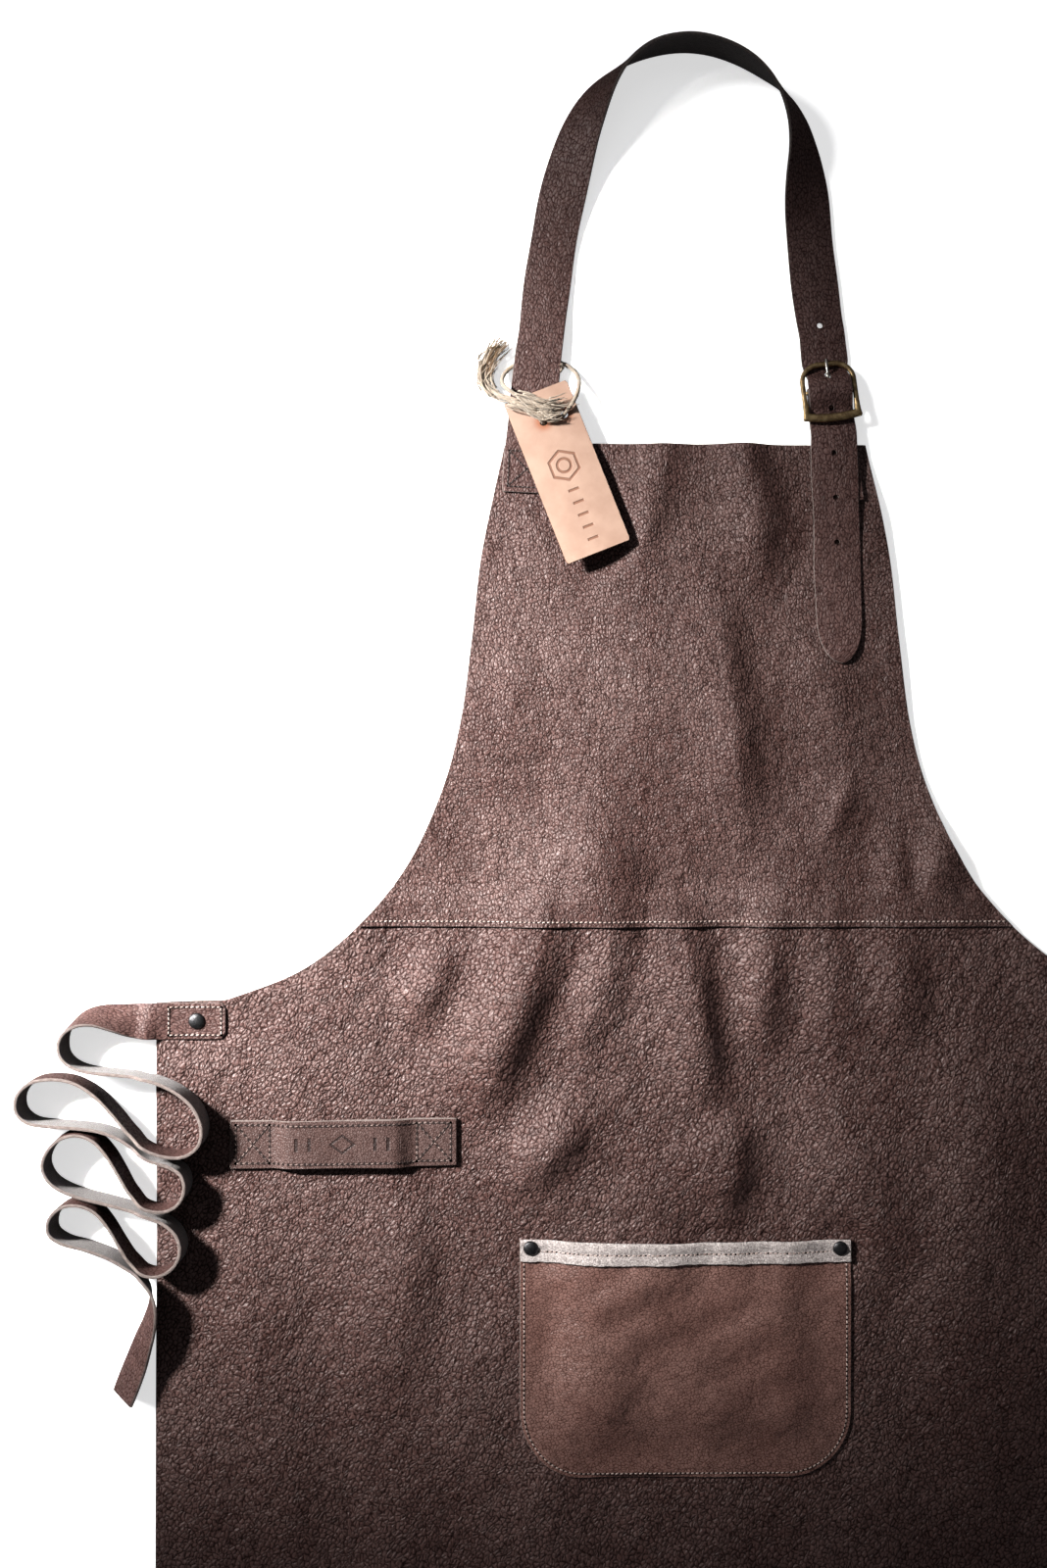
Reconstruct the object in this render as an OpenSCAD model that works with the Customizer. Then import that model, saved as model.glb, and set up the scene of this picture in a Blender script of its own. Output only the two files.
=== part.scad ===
// Leather welding apron laid out flat, face up: a bib and a skirt joined by a lapped
// waist seam, a neck strap with a tongue buckle, two waist straps, a patch pocket,
// a towel loop and a swing tag on twine.
// X runs across the apron, Y from the hem to the neck, Z is height above the table.

/* [Panels] */
// Width of the skirt across the hem
skirt_w = 650; // [640:2:660]
// Height of the skirt from the hem to the waist seam
skirt_h = 560; // [540:5:580]
// Width of the bib along its top edge
bib_w = 222; // [210:2:230]
// Height of the bib above the waist seam
bib_h = 296; // [292:1:300]
// Thickness of the panel leather
panel_t = 2; // [1.6:0.1:2.2]
// Overlap of the bib on the skirt at the waist seam
lap = 12; // [10:1:16]

/* [Straps] */
// Width of the neck strap
neck_w = 28; // [24:0.5:28]
// Width of the waist straps
waist_w = 22; // [18:1:24]
// Thickness of the strap leather
strap_t = 2; // [1.6:0.1:2.2]
// Diameter of the adjustment holes in the neck strap
hole_d = 3.6; // [3:0.2:4.4]

/* [Buckle] */
// Clear width inside the buckle frame
buckle_in_w = 28.6; // [28.4:0.1:30]
// Length of the buckle frame along the strap
buckle_len = 38.6; // [37:0.2:40]
// Width of the frame's side bars and arch
buckle_bar_w = 3.5; // [3:0.1:4]
// Diameter of the centre bar that the prong and the chape turn on
centre_bar_d = 2.6; // [2.4:0.1:2.8]
// Thickness of each layer of the chape, the short strap that holds the buckle
chape_t = 1.5; // [1.2:0.1:1.6]

/* [Pocket] */
// Width of the pocket
pocket_w = 203; // [180:1:220]
// Height of the pocket
pocket_h = 145; // [130:1:160]
// Radius of the pocket's lower corners
pocket_r = 40; // [30:1:50]
// Room between the pocket and the skirt at the middle of the pocket
pocket_room = 5.6; // [5:0.2:8]
// Height of the hem turned over along the pocket's mouth
pocket_hem = 13; // [11:1:16]

/* [Towel loop] */
// Length of the towel loop strip
loop_w = 138; // [120:1:150]
// Height of the towel loop strip
loop_h = 28.5; // [24:0.5:32]
// Thickness of each of its two layers
loop_t = 1.5; // [1.2:0.1:1.8]
// Room under the loop at its middle
loop_room = 5; // [4.6:0.2:7]

/* [Tag] */
// Width of the swing tag
tag_w = 41; // [36:1:44]
// Length of the swing tag
tag_l = 106; // [98:1:108]
// Thickness of the swing tag
tag_t = 2; // [1.6:0.2:2.2]
// Diameter of the twine
twine_d = 2.8; // [2.2:0.2:2.8]

/* [Rivets] */
// Diameter of the pocket rivets' caps
pocket_rivet_d = 9; // [8:0.5:10]
// Diameter of the waist rivets' caps
waist_rivet_d = 10; // [9:0.5:11]

/* [Hidden] */

$fn = 48;
thread_w = 0.8;                      // width of a row of stitches
thread_h = 0.3;                      // how proud a row of stitches stands
stitch_in = 2;                       // from a sewn edge to its row of stitches
gap = 0.3;                           // room between pieces that move apart
lie = 0.02;                          // room under a piece that lies on another
top_v = skirt_h + bib_h;             // height of the bib's top edge above the hem

// Side edge of the apron, from the bib's top corner down to the waist strap
side_edge = [[bib_w / 2, top_v], [125, skirt_h + 230], [131, skirt_h + 178],
  [138, skirt_h + 126], [150, skirt_h + 82], [171, skirt_h + 37], [201, skirt_h],
  [237, skirt_h - 28], [283, skirt_h - 46]];
corner_v = skirt_h - 47;             // height of the skirt's top corners

// Pocket, towel loop and waist patch places, measured from the hem and the centre line
pocket_v = 222;                      // lower edge of the pocket
pocket_flat = 13;                    // sewn border of the pocket that lies flat
pocket_rise = 32;                    // width of the slope inside that border
pocket_rivet = [pocket_w / 2 - 6.5, pocket_v + pocket_h - 4.8];
loop_at = [-210, 427];               // middle of the towel loop
loop_end = 24;                       // sewn length at each end of the loop
loop_slope = 14;                     // slope from a sewn end up to the middle
patch_l = 37;                        // sewn end of a waist strap
patch_edge = 5;                      // from the skirt's side edge to the sewn end
waist_v = corner_v - 11.5;           // middle of the waist straps' sewn ends
waist_rivet = [skirt_w / 2 - 24.5, waist_v];

// Rivets
post_r = 1.5;                        // outer radius of the cap's stem
pin_r = 0.95;                        // radius of the post's pin
base_t = 0.8;                        // thickness of the post's base, let into the leather

// Buckle
buckle_at = [88.2, skirt_h + 328.3, 6.8];   // middle of the centre bar
buckle_turn = 6;                     // turn of the buckle in plan
buckle_tip = 9;                      // the arch lies lower than the bottom bar by this angle
frame_t = 2.8;                       // thickness of the frame
run_gap = 0.1;                       // running clearance round the centre bar
chape_w = 27;
chape_skew = 4;                      // the chape runs a little askew to the buckle
prong_w = 2.2;
prong_t = 1.6;

// Swing tag
tag_at = [-73, skirt_h + 278];       // middle of the tag
tag_turn = 21.5;                     // turn of the tag in plan
tag_tip = 3.6;                       // slope of the tag down towards its free end
tag_hole_q = 33.7;                   // the two holes, from the middle of the tag
tag_hole_p = [-2.1, 11.5];
tag_hole_d = 5.2;
tag_hole_z = 8.4;                    // height of the tag's underside at its holes

// Neck strap route: across, above the waist seam, twist, height of its lower edge, width.
// It starts at the sewn end, runs up the left side, over the neck and down to the buckle.
neck_left = [[-98.3, 267, 0, 2.05], [-97.5, 282, 0, 2.05], [-96.5, 296, 0, 2.05],
  [-95, 311, 0, 2.2], [-93.5, 325, 0, 3.0], [-92, 336, 0, 3.4], [-90.5, 350, 0, 3.4],
  [-88.5, 365, 0, 2.9], [-86, 387, 0, 0.9], [-82.5, 412, 0, 0.1], [-77.5, 440, 4, 0.1],
  [-71, 467, 14, 0.1], [-63.5, 490, 32, 0.1], [-52.5, 511, 54, 0.1],
  [-38, 526.5, 74, 0.1], [-21, 536, 87, 0.1], [-3, 539.5, 90, 0.1], [14, 538, 90, 0.1],
  [31, 532, 88, 0.1], [46, 522.5, 82, 0.1], [59, 510, 70, 0.1], [67.5, 494, 58, 0.1],
  [72, 476, 44, 0.1], [74, 456, 24, 0.1], [75.6, 436, 7, 0.1], [77.6, 415, 0, 0.1],
  [80, 394, 0, 0.1], [82.4, 376, 0, 0.1]];
// Through the buckle: distance above the centre bar along the buckle, height, width. The
// strap's edges draw in where it climbs through the frame.
neck_weave = [[37, 0.1, 28], [28, 0.1, 28], [22, 0.1, 28], [18.5, 0.1, 27.6],
  [15.8, 0.1, 26.2], [13.4, 0.4, 25], [11.2, 3.3, 24.4], [8.6, 7.3, 25],
  [5.6, 9.5, 25.8], [2, 10, 26], [-1.6, 9.9, 26], [-5, 8.6, 26], [-9, 6, 26.2],
  [-12, 4.6, 26.6], [-15, 4.25, 27], [-20, 4.3, 27.6], [-26, 4.9, 28]];
// The free tongue below the buckle: across, above the seam, height, width
neck_tongue = [[91, 296, 5.4, 28], [91.2, 285, 5.4, 28], [91.6, 272, 5.4, 28],
  [92, 260, 5.4, 28], [92.5, 248, 4.3, 28], [93, 236, 2.8, 28], [93.4, 222, 2.1, 28],
  [94, 204, 2.1, 28], [94.7, 188, 2.1, 28], [95.1, 178, 2.1, 26.4],
  [95.5, 170, 2.1, 22], [95.8, 164.5, 2.1, 15], [95.9, 161.8, 2.1, 6]];
// Holes in the neck strap: across, above the seam
neck_holes = [[83.1, 370], [89.3, 318], [91, 290.5], [91.9, 263], [93, 236]];

// Waist strap route on the left side, outwards from the skirt's side edge and above the
// seam. The strap leaves its sewn end flat, turns on edge and lies in folds.
waist_flat = [[-42, 0], [-23, 0], [-3, 0]];
waist_twist = [[11, 0.5, -25], [23, 2.5, -48], [35, 4, -64], [45, 2, -76], [52.5, -3.5, -85]];
waist_folds = [[56, -69.5], [55, -78], [49, -84], [39, -87.5], [25, -89], [10, -90.5],
  [-3, -93], [-16, -99], [-26, -108], [-31, -120], [-29, -131], [-20, -137.5],
  [-8, -137.5], [4, -132.5], [14, -124], [24, -112], [35, -101], [48, -93.5], [62, -91.5],
  [74, -94], [81.5, -102], [81.5, -112], [74, -118.5], [61, -120.5], [46, -121.5],
  [32, -123.5], [20, -128], [10, -134.5], [0, -140.5], [-11, -144], [-18.5, -149],
  [-20.5, -158], [-16, -167], [-7, -171], [4, -169], [13, -161], [20, -149],
  [27, -137.5], [35, -129], [45, -125.5], [55, -127.5], [63, -134.5], [66.5, -144],
  [63, -153], [55, -159], [43, -163.5], [29, -167], [16, -170.5], [3, -174.5],
  [-8, -179], [-15.5, -186], [-18, -195], [-14.5, -204], [-6, -209.5], [4, -209],
  [13, -202.5], [20, -192], [27, -180.5], [34.5, -172], [44, -168], [54, -169],
  [61.5, -176], [62, -185.5], [54, -191.5], [41, -195], [27, -200], [17, -206],
  [8, -213], [2, -221.5], [0.5, -231], [2.5, -242], [7, -255], [13, -271], [20, -289]];

// Twine route: across, above the seam, height. From the frayed tip beside the strap, over
// the tag, down and up through its two holes, under the strap and back on to the tag.
twine_route = [[-118, 353, 1.6], [-122.5, 346, 1.6], [-123.5, 338, 1.8],
  [-120.5, 330.5, 4.2], [-114.5, 325, 11], [-109.5, 322, 13.4], [-104, 319.2, 13.6],
  [-98, 316, 13.2],
  [-91.5, 312, 12.7], [-88.4, 309.4, 11.7], [-87.4, 308.6, 9.4], [-86.6, 308.8, 7.2],
  [-82.5, 310.4, 6.2], [-78, 312.3, 6.3], [-75.3, 313.2, 7.5], [-74.6, 313.6, 9.6],
  [-73.9, 314.3, 11.7], [-71, 317.8, 13.2], [-67.8, 323.4, 12.8], [-66, 329, 10.4],
  [-65.4, 334.5, 5.6], [-67, 340, 2.4], [-71, 344.2, 1.5], [-76.5, 347, 1.45],
  [-86, 349, 1.45], [-97, 348.5, 1.45], [-106, 345, 1.5], [-111.5, 339.5, 3],
  [-112.5, 333.5, 7.4], [-108.5, 327.8, 12.6], [-101, 323, 13.8], [-92, 319, 13.2],
  [-84, 317.5, 12.7]];

// A smooth curve through a list of points, each span cut into n steps
function curve_point(a, b, c, d, t) = 0.5 * (2 * b + (c - a) * t
  + (2 * a - 5 * b + 4 * c - d) * t * t + (3 * b - a - 3 * c + d) * t * t * t);
function smooth_path(p, n) = [for (i = [0:len(p) - 2], k = [0:n - 1])
  curve_point(p[max(i - 1, 0)], p[i], p[i + 1], p[min(i + 2, len(p) - 1)], k / n),
  p[len(p) - 1]];
function unit(v) = v / norm(v);
function ease(t) = let (u = min(max(t, 0), 1)) u * u * (3 - 2 * u);
function tangent(p, i) = unit(p[min(i + 1, len(p) - 1)] - p[max(i - 1, 0)]);

neck_curve = smooth_path(concat(
  [for (p = neck_left) [p[0], p[1] + skirt_h, p[2], p[3], neck_w]],
  [for (p = neck_weave) [buckle_at[0] - p[0] * sin(buckle_turn),
    buckle_at[1] + p[0] * cos(buckle_turn), 0, p[1], min(p[2], neck_w)]],
  [for (p = neck_tongue) [p[0], p[1] + skirt_h, 0, p[2], min(p[3], neck_w)]]), 2);
strap_top = max([for (p = neck_curve) p[1]]) + strap_t / 2;
mid_v = strap_top / 2;               // the frame's origin, halfway up the apron

// Height of the lower edge of a waist strap: on the table, or up on the skirt
function waist_base(out) = panel_t * (1 - ease((out - 5) / 7));
waist_curve = smooth_path([for (p = concat([for (q = waist_flat) [q[0], q[1], 0]],
  waist_twist, [for (q = waist_folds) [q[0], q[1] + skirt_h - waist_v, -90]]))
  [-skirt_w / 2 - p[0], waist_v + p[1], p[2], 0, waist_w]], 2);

module place() { translate([0, -mid_v, 0]) children(); }
module along_x(w) { rotate([90, 0, 90]) linear_extrude(w, center = true) children(); }
module on_buckle() {
  place() translate(buckle_at) rotate([0, 0, buckle_turn]) children();
}
module on_tag() {
  place() translate([tag_at[0], tag_at[1], tag_hole_z]) rotate([0, 0, tag_turn])
    translate([0, tag_hole_q, 0]) rotate([tag_tip, 0, 0])
    translate([0, -tag_hole_q, 0]) children();
}
module both_sides() { children(); mirror([1, 0, 0]) children(); }

// The triangles between n rings of m points each
function side_faces(m, n) = concat(
  [for (i = [0:n - 2], j = [0:m - 1]) [i * m + j, i * m + (j + 1) % m, (i + 1) * m + j]],
  [for (i = [0:n - 2], j = [0:m - 1])
    [i * m + (j + 1) % m, (i + 1) * m + (j + 1) % m, (i + 1) * m + j]]);

// Closes a row of equal, convex rings of points into a solid
module skin(rings) {
  m = len(rings[0]);
  n = len(rings);
  polyhedron([for (r = rings, p = r) p], concat(side_faces(m, n),
    [for (j = [1:m - 2]) [0, j + 1, j]],
    [for (j = [1:m - 2]) [(n - 1) * m, (n - 1) * m + j, (n - 1) * m + j + 1]]));
}

// A flat strap along points of [x, y, twist, height of the lower edge, width]
function strap_ring(p, i) = let (
    a = p[i], t = tangent([for (q = p) [q[0], q[1], 0]], i), side = [t[1], -t[0], 0],
    across = side * cos(a[2]) + [0, 0, sin(a[2])],
    face = [-side[0] * sin(a[2]), -side[1] * sin(a[2]), cos(a[2])],
    mid = [a[0], a[1], a[3] + a[4] / 2 * abs(sin(a[2])) + strap_t / 2 * cos(a[2])])
  [for (c = [[-1, -1], [1, -1], [1, 1], [-1, 1]])
    mid + across * c[0] * a[4] / 2 + face * c[1] * strap_t / 2];
module strap(p) { skin([for (i = [0:len(p) - 1]) strap_ring(p, i)]); }

// A round cord along points
module cord(p, d, sides) {
  n = len(p);
  t = [for (i = [0:n - 1]) tangent(p, i)];
  s = [for (i = 0, v = [0, 0, 1]; i < n; v = unit(v - (v * t[i]) * t[i]), i = i + 1) v];
  skin([for (i = [0:n - 1]) let (u = unit(s[i] - (s[i] * t[i]) * t[i]), w = cross(t[i], u))
    [for (a = [0:360 / sides:359]) p[i] + (u * cos(a) + w * sin(a)) * d / 2]]);
}

// Plan of the whole front, bib and skirt together
module front_plan() {
  half = concat(smooth_path(side_edge, 4), [[skirt_w / 2, corner_v], [skirt_w / 2, 0]]);
  polygon(concat(half, [for (i = [len(half) - 1:-1:0]) [-half[i][0], half[i][1]]]));
}

module skirt_panel() {
  color("#4a3531") place() difference() {
    intersection() {
      linear_extrude(panel_t) front_plan();
      translate([-skirt_w, -1, 0]) cube([2 * skirt_w, skirt_h + lap + 1, panel_t]);
    }
    both_sides() for (r = [[pocket_rivet, pocket_rivet_d], [waist_rivet, waist_rivet_d]])
      translate(r[0]) {
        translate([0, 0, -1]) cylinder(r = post_r + 0.1, h = panel_t + 2);
        translate([0, 0, -1]) cylinder(d = r[1] + 0.2, h = base_t + 1);
      }
  }
}

module bib_panel() {
  lift = panel_t + gap;
  color("#523b36") place() intersection() {
    linear_extrude(3 * panel_t) front_plan();
    along_x(skirt_w) polygon([[skirt_h, lift], [skirt_h + lap + 2, lift],
      [skirt_h + lap + 14, 0], [top_v + 1, 0], [top_v + 1, panel_t],
      [skirt_h + lap + 16, panel_t], [skirt_h + lap + 4, lift + panel_t],
      [skirt_h, lift + panel_t]]);
  }
}

module seam_thread() {
  color("#c9aca2") place() translate([-196, skirt_h + 2.6, 2 * panel_t + gap])
    cube([392, thread_w, thread_h]);
}

// Half of the pocket's width at one height
function pocket_half(v) = let (d = pocket_v + pocket_r - v)
  pocket_w / 2 - (d > 0 ? pocket_r - sqrt(max(pocket_r * pocket_r - d * d, 0)) : 0);
// How far the pocket stands off the skirt, for a distance in from its side edge
function pocket_puff(side, v) = pocket_room * ease((side - pocket_flat) / pocket_rise)
  * ease((v - pocket_v - pocket_flat) / pocket_rise);
pocket_steps = [0, pocket_flat, 21, 29, 37, pocket_flat + pocket_rise];
pocket_rows = concat([for (a = [90:-15:15]) pocket_v + pocket_r * (1 - sin(a))],
  [for (k = [0:7]) pocket_v + pocket_r + k * (pocket_h - pocket_r - pocket_hem - 1) / 7],
  [for (k = [0:3]) pocket_v + pocket_h - pocket_hem * (1 - k / 3)]);
// Places across the pocket at one height, from its left edge to its right edge
function pocket_across(v) = let (h = pocket_half(v), s = pocket_steps, n = len(s))
  concat([for (i = [0:n - 1]) [s[i] - h, s[i]]], [[0, h]],
    [for (i = [n - 1:-1:0]) [h - s[i], s[i]]]);

module pocket_panel() {
  hem_v = pocket_v + pocket_h - pocket_hem;
  function row(v) = let (a = pocket_across(v), t = v < hem_v ? panel_t : 2 * panel_t)
    concat([for (p = a) [p[0], v, panel_t + pocket_puff(p[1], v)]],
      [for (i = [len(a) - 1:-1:0])
        [a[i][0], v, panel_t + t + pocket_puff(a[i][1], v)]]);
  color("#5a3c34") place() difference() {
    pocket_skin([for (v = pocket_rows) row(v)]);
    both_sides() translate(pocket_rivet) cylinder(r = post_r + 0.1, h = 20);
  }
}

// Closes the pocket's rows: each row is its inner face, then its outer face back again
module pocket_skin(rows) {
  m = len(rows[0]);
  n = len(rows);
  h = m / 2;
  polyhedron([for (r = rows, p = r) p], concat(side_faces(m, n),
    [for (j = [0:h - 2]) [j, m - 1 - j, j + 1]],
    [for (j = [0:h - 2]) [j + 1, m - 1 - j, m - 2 - j]],
    [for (j = [0:h - 2]) let (k = (n - 1) * m) [k + j, k + j + 1, k + m - 1 - j]],
    [for (j = [0:h - 2]) let (k = (n - 1) * m) [k + j + 1, k + m - 2 - j, k + m - 1 - j]]));
}

// A plan with round lower corners, as the pocket has, drawn in by a margin
module pocket_plan(margin) {
  w = pocket_w - 2 * margin;
  r = pocket_r - margin;
  translate([-w / 2, pocket_v + margin + r]) square([w, pocket_h]);
  translate([-w / 2 + r, pocket_v + margin]) square([w - 2 * r, r]);
  for (s = [-1, 1]) translate([s * (w / 2 - r), pocket_v + margin + r]) circle(r);
}

module pocket_thread() {
  color("#c9aca2") place() translate([0, 0, 2 * panel_t + lie]) intersection() {
    linear_extrude(thread_h) difference() {
      pocket_plan(stitch_in);
      pocket_plan(stitch_in + thread_w);
    }
    translate([-pocket_w, 0, -1]) cube([2 * pocket_w, pocket_v + pocket_h - pocket_hem - 1, 3]);
  }
}

module pocket_hem_thread() {
  v = pocket_v + pocket_h - 7.4;
  function ring(p) = let (z = 3 * panel_t + pocket_puff(p[1], v))
    [[p[0], v, z], [p[0], v, z + thread_h], [p[0], v + thread_w, z + thread_h],
      [p[0], v + thread_w, z]];
  a = pocket_across(v);
  color("#c9aca2") place() skin([for (i = [len(a) - 2:-1:1]) ring(a[i])]);
}

module rivet_cap(d, z) {
  dome = d * 0.22;
  color("#3d3b3c") translate([0, 0, z]) {
    rotate_extrude() intersection() {
      translate([0, dome - (d * d / 4 + dome * dome) / (2 * dome)])
        circle((d * d / 4 + dome * dome) / (2 * dome), $fn = 96);
      square([d, dome]);
    }
    translate([0, 0, base_t + run_gap - z]) difference() {
      cylinder(r = post_r, h = z - base_t - run_gap);
      translate([0, 0, -1]) cylinder(r = pin_r + run_gap / 2, h = z - base_t + 0.7);
    }
  }
}

module rivet_post(d, z) {
  color("#4a4849") {
    cylinder(d = d, h = base_t);
    cylinder(r = pin_r, h = z - 0.5);
  }
}

module pocket_rivet_caps() {
  place() both_sides() translate(pocket_rivet) rivet_cap(pocket_rivet_d, 3 * panel_t);
}

module pocket_rivet_posts() {
  place() both_sides() translate(pocket_rivet) rivet_post(pocket_rivet_d, 3 * panel_t);
}

module waist_rivet_caps() {
  place() both_sides() translate(waist_rivet)
    rivet_cap(waist_rivet_d, panel_t + strap_t + 2 * lie);
}

module waist_rivet_posts() {
  place() both_sides() translate(waist_rivet)
    rivet_post(waist_rivet_d, panel_t + strap_t);
}

// Side view of one layer of the towel loop, from height z above the skirt
function loop_steps(z) = let (e = loop_w / 2, a = e - loop_end) concat([[-e, z]],
  [for (k = [0:6]) [-a + loop_slope * k / 6, z + loop_room * ease(k / 6)]],
  [for (k = [6:-1:0]) [a - loop_slope * k / 6, z + loop_room * ease(k / 6)]], [[e, z]]);
module loop_layer(z, t, h) {
  low = loop_steps(z);
  high = loop_steps(z + t);
  place() translate([loop_at[0], loop_at[1], panel_t]) rotate([90, 0, 0])
    linear_extrude(h, center = true)
    polygon(concat(low, [for (i = [len(high) - 1:-1:0]) high[i]]));
}

module towel_loop_back() { color("#54413b") loop_layer(0, loop_t, loop_h); }
module towel_loop_front() { color("#5c4039") loop_layer(loop_t, loop_t, loop_h); }

// A sewn box with a cross in it
module box_cross(w, h) {
  difference() {
    square([w, h], center = true);
    square([w - 2 * thread_w, h - 2 * thread_w], center = true);
  }
  for (s = [-1, 1]) rotate(s * atan2(h, w))
    square([norm([w, h]) - 2 * thread_w, thread_w], center = true);
}

module towel_loop_thread() {
  box = loop_end - 3;
  color("#c9aca2") {
    for (s = [-1, 1]) translate([0, s * (loop_h / 2 - 2.4), 0])
      intersection() {
        loop_layer(2 * loop_t, thread_h, thread_w);
        place() translate([loop_at[0], 0, 0])
          translate([-loop_w / 2 + loop_end - 1, 0, 0])
          cube([loop_w - 2 * loop_end + 2, 2 * top_v, 30]);
      }
    place() for (s = [-1, 1])
      translate([loop_at[0] + s * (loop_w / 2 - loop_end / 2 - 0.4), loop_at[1],
        panel_t + 2 * loop_t])
        linear_extrude(thread_h) box_cross(box, loop_h - 4);
  }
}

module waist_strap_left() {
  color("#574039") place() difference() {
    strap([for (p = waist_curve)
      [p[0], p[1], min(p[2], 0), waist_base(-skirt_w / 2 - p[0]) + lie, p[4]]]);
    mirror([1, 0, 0]) translate(waist_rivet) cylinder(r = post_r + 0.1, h = 8);
  }
}

module waist_strap_right() { mirror([1, 0, 0]) waist_strap_left(); }

module waist_thread_left() {
  color("#c9aca2") place()
    translate([-skirt_w / 2 + patch_edge + patch_l / 2, waist_v, panel_t + strap_t + 2 * lie])
    linear_extrude(thread_h) difference() {
      square([patch_l - 2 * stitch_in, waist_w - 2 * stitch_in], center = true);
      square([patch_l - 2 * stitch_in - 2 * thread_w,
        waist_w - 2 * stitch_in - 2 * thread_w], center = true);
    }
}

module waist_thread_right() { mirror([1, 0, 0]) waist_thread_left(); }

module neck_strap() {
  color("#573f3a") place() difference() {
    strap(neck_curve);
    for (h = neck_holes) translate([h[0], h[1] + skirt_h, -1]) cylinder(d = hole_d, h = 20);
    for (w = [8.6, 11.2]) translate([buckle_at[0] - w * sin(buckle_turn),
      buckle_at[1] + w * cos(buckle_turn), 0]) cylinder(d = hole_d, h = 20);
    translate([buckle_at[0] - 9.9 * sin(buckle_turn), buckle_at[1] + 9.9 * cos(buckle_turn),
      10]) rotate(buckle_turn) cube([hole_d - 0.5, 2.6, 20], center = true);
  }
}

module neck_strap_thread() {
  color("#2c201e") place() translate([-97.8, skirt_h + 281, panel_t + strap_t + 4 * lie])
    rotate(-3) linear_extrude(thread_h) box_cross(24, 24);
}

// Side view of the chape: two layers from its sewn end to the eye round the centre bar
chape_r = centre_bar_d / 2 + run_gap;
chape_low = 1;                       // height of the chape between the bib and the buckle
chape_end = -68;                     // sewn end, below the centre bar
module chape_side() {
  z0 = -buckle_at[2];
  edge = (top_v - buckle_at[1]) / cos(buckle_turn) + chape_w / 2 * tan(buckle_turn) + 2;
  difference() {
    union() {
      circle(chape_r + chape_t);
      polygon([[chape_end, z0 + panel_t], [edge, z0 + panel_t],
        [edge + 7, z0 + chape_low], [-11, z0 + chape_low], [0.8, -chape_r - chape_t],
        [1, 0], [-1.8, 2.6], [-11, z0 + chape_low + 2 * chape_t],
        [edge + 7, z0 + chape_low + 2 * chape_t], [edge, z0 + panel_t + 2 * chape_t],
        [chape_end, z0 + panel_t + 2 * chape_t]]);
    }
    circle(chape_r);
    polygon([[-7.6, -3.1], [0.2, -chape_r], [0.2, 0], [-0.7, chape_r * 0.85]]);
  }
}

module buckle_chape() {
  color("#543d37") on_buckle() difference() {
    intersection() {
      along_x(60) chape_side();
      rotate(chape_skew) translate([-chape_w / 2, -90, -20]) cube([chape_w, 120, 40]);
    }
    translate([0, 0.5, 0]) cube([4, 11, 20], center = true);
  }
}

module chape_thread() {
  color("#2c201e") on_buckle() rotate(chape_skew)
    translate([0, -52, panel_t + 2 * chape_t - buckle_at[2]])
    linear_extrude(thread_h) box_cross(22, 26);
}

// Plan of the buckle frame: straight sides and an arch with round shoulders
module d_plan(w, low, high, r) {
  translate([-w / 2, low]) square([w, high - r - low]);
  translate([-w / 2 + r, high - r]) square([w - 2 * r, r]);
  for (s = [-1, 1]) translate([s * (w / 2 - r), high - r]) circle(r, $fn = 96);
}

buckle_out_w = buckle_in_w + 2 * buckle_bar_w;
arch_r = 9;                          // inner radius of the arch's shoulders
bottom_bar_w = 5.4;
foot_r = 2;                          // radius of the flared bottom corners
module frame_layer(inset, z, t) {
  half = buckle_len / 2;
  translate([0, 0, z]) linear_extrude(t) difference() {
    union() {
      d_plan(buckle_out_w - 2 * inset, -half + inset + foot_r, half - inset,
        arch_r + buckle_bar_w - inset);
      for (s = [-1, 1]) translate([s * (buckle_out_w / 2 - inset - 0.7 * foot_r),
        -half + foot_r + inset]) circle(foot_r, $fn = 32);
      translate([-buckle_out_w / 2 + 0.7 * foot_r + inset, -half + inset])
        square([buckle_out_w - 1.4 * foot_r - 2 * inset, 2 * foot_r]);
    }
    d_plan(buckle_in_w + 2 * inset, -half + bottom_bar_w - inset,
      half - buckle_bar_w + inset, arch_r + inset);
  }
}

module buckle_frame() {
  color("#7d6233") on_buckle() rotate([-buckle_tip, 0, 0]) {
    frame_layer(0.45, -frame_t / 2, 0.5);
    frame_layer(0, -frame_t / 2 + 0.5, frame_t - 1);
    frame_layer(0.45, frame_t / 2 - 0.5, 0.5);
    rotate([0, 90, 0])
      cylinder(d = centre_bar_d, h = buckle_in_w + buckle_bar_w, center = true);
  }
}

module buckle_prong() {
  reach = buckle_len / 2 + 0.6;
  eye = centre_bar_d / 2 + run_gap;
  rest = frame_t / 2 + 0.1;
  color("#8c8a85") on_buckle() rotate([-buckle_tip, 0, 0]) difference() {
    union() {
      rotate([0, 90, 0]) cylinder(r = eye + 1.1, h = prong_w, center = true);
      along_x(prong_w) polygon([[eye, 1.2], [6, 1.4], [reach - 5, rest + prong_t],
        [reach, rest + prong_t * 0.8], [reach, rest + 0.1], [reach - 5, rest],
        [7, -0.2], [eye + 0.2, -0.8]]);
    }
    rotate([0, 90, 0]) cylinder(r = eye, h = 2 * prong_w, center = true);
  }
}

module hang_tag() {
  color("#d8ab86") on_tag() difference() {
    translate([-tag_w / 2, -tag_l / 2, 0]) cube([tag_w, tag_l, tag_t]);
    for (p = tag_hole_p) translate([p, tag_hole_q, -1]) cylinder(d = tag_hole_d, h = tag_t + 2);
  }
}

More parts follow.
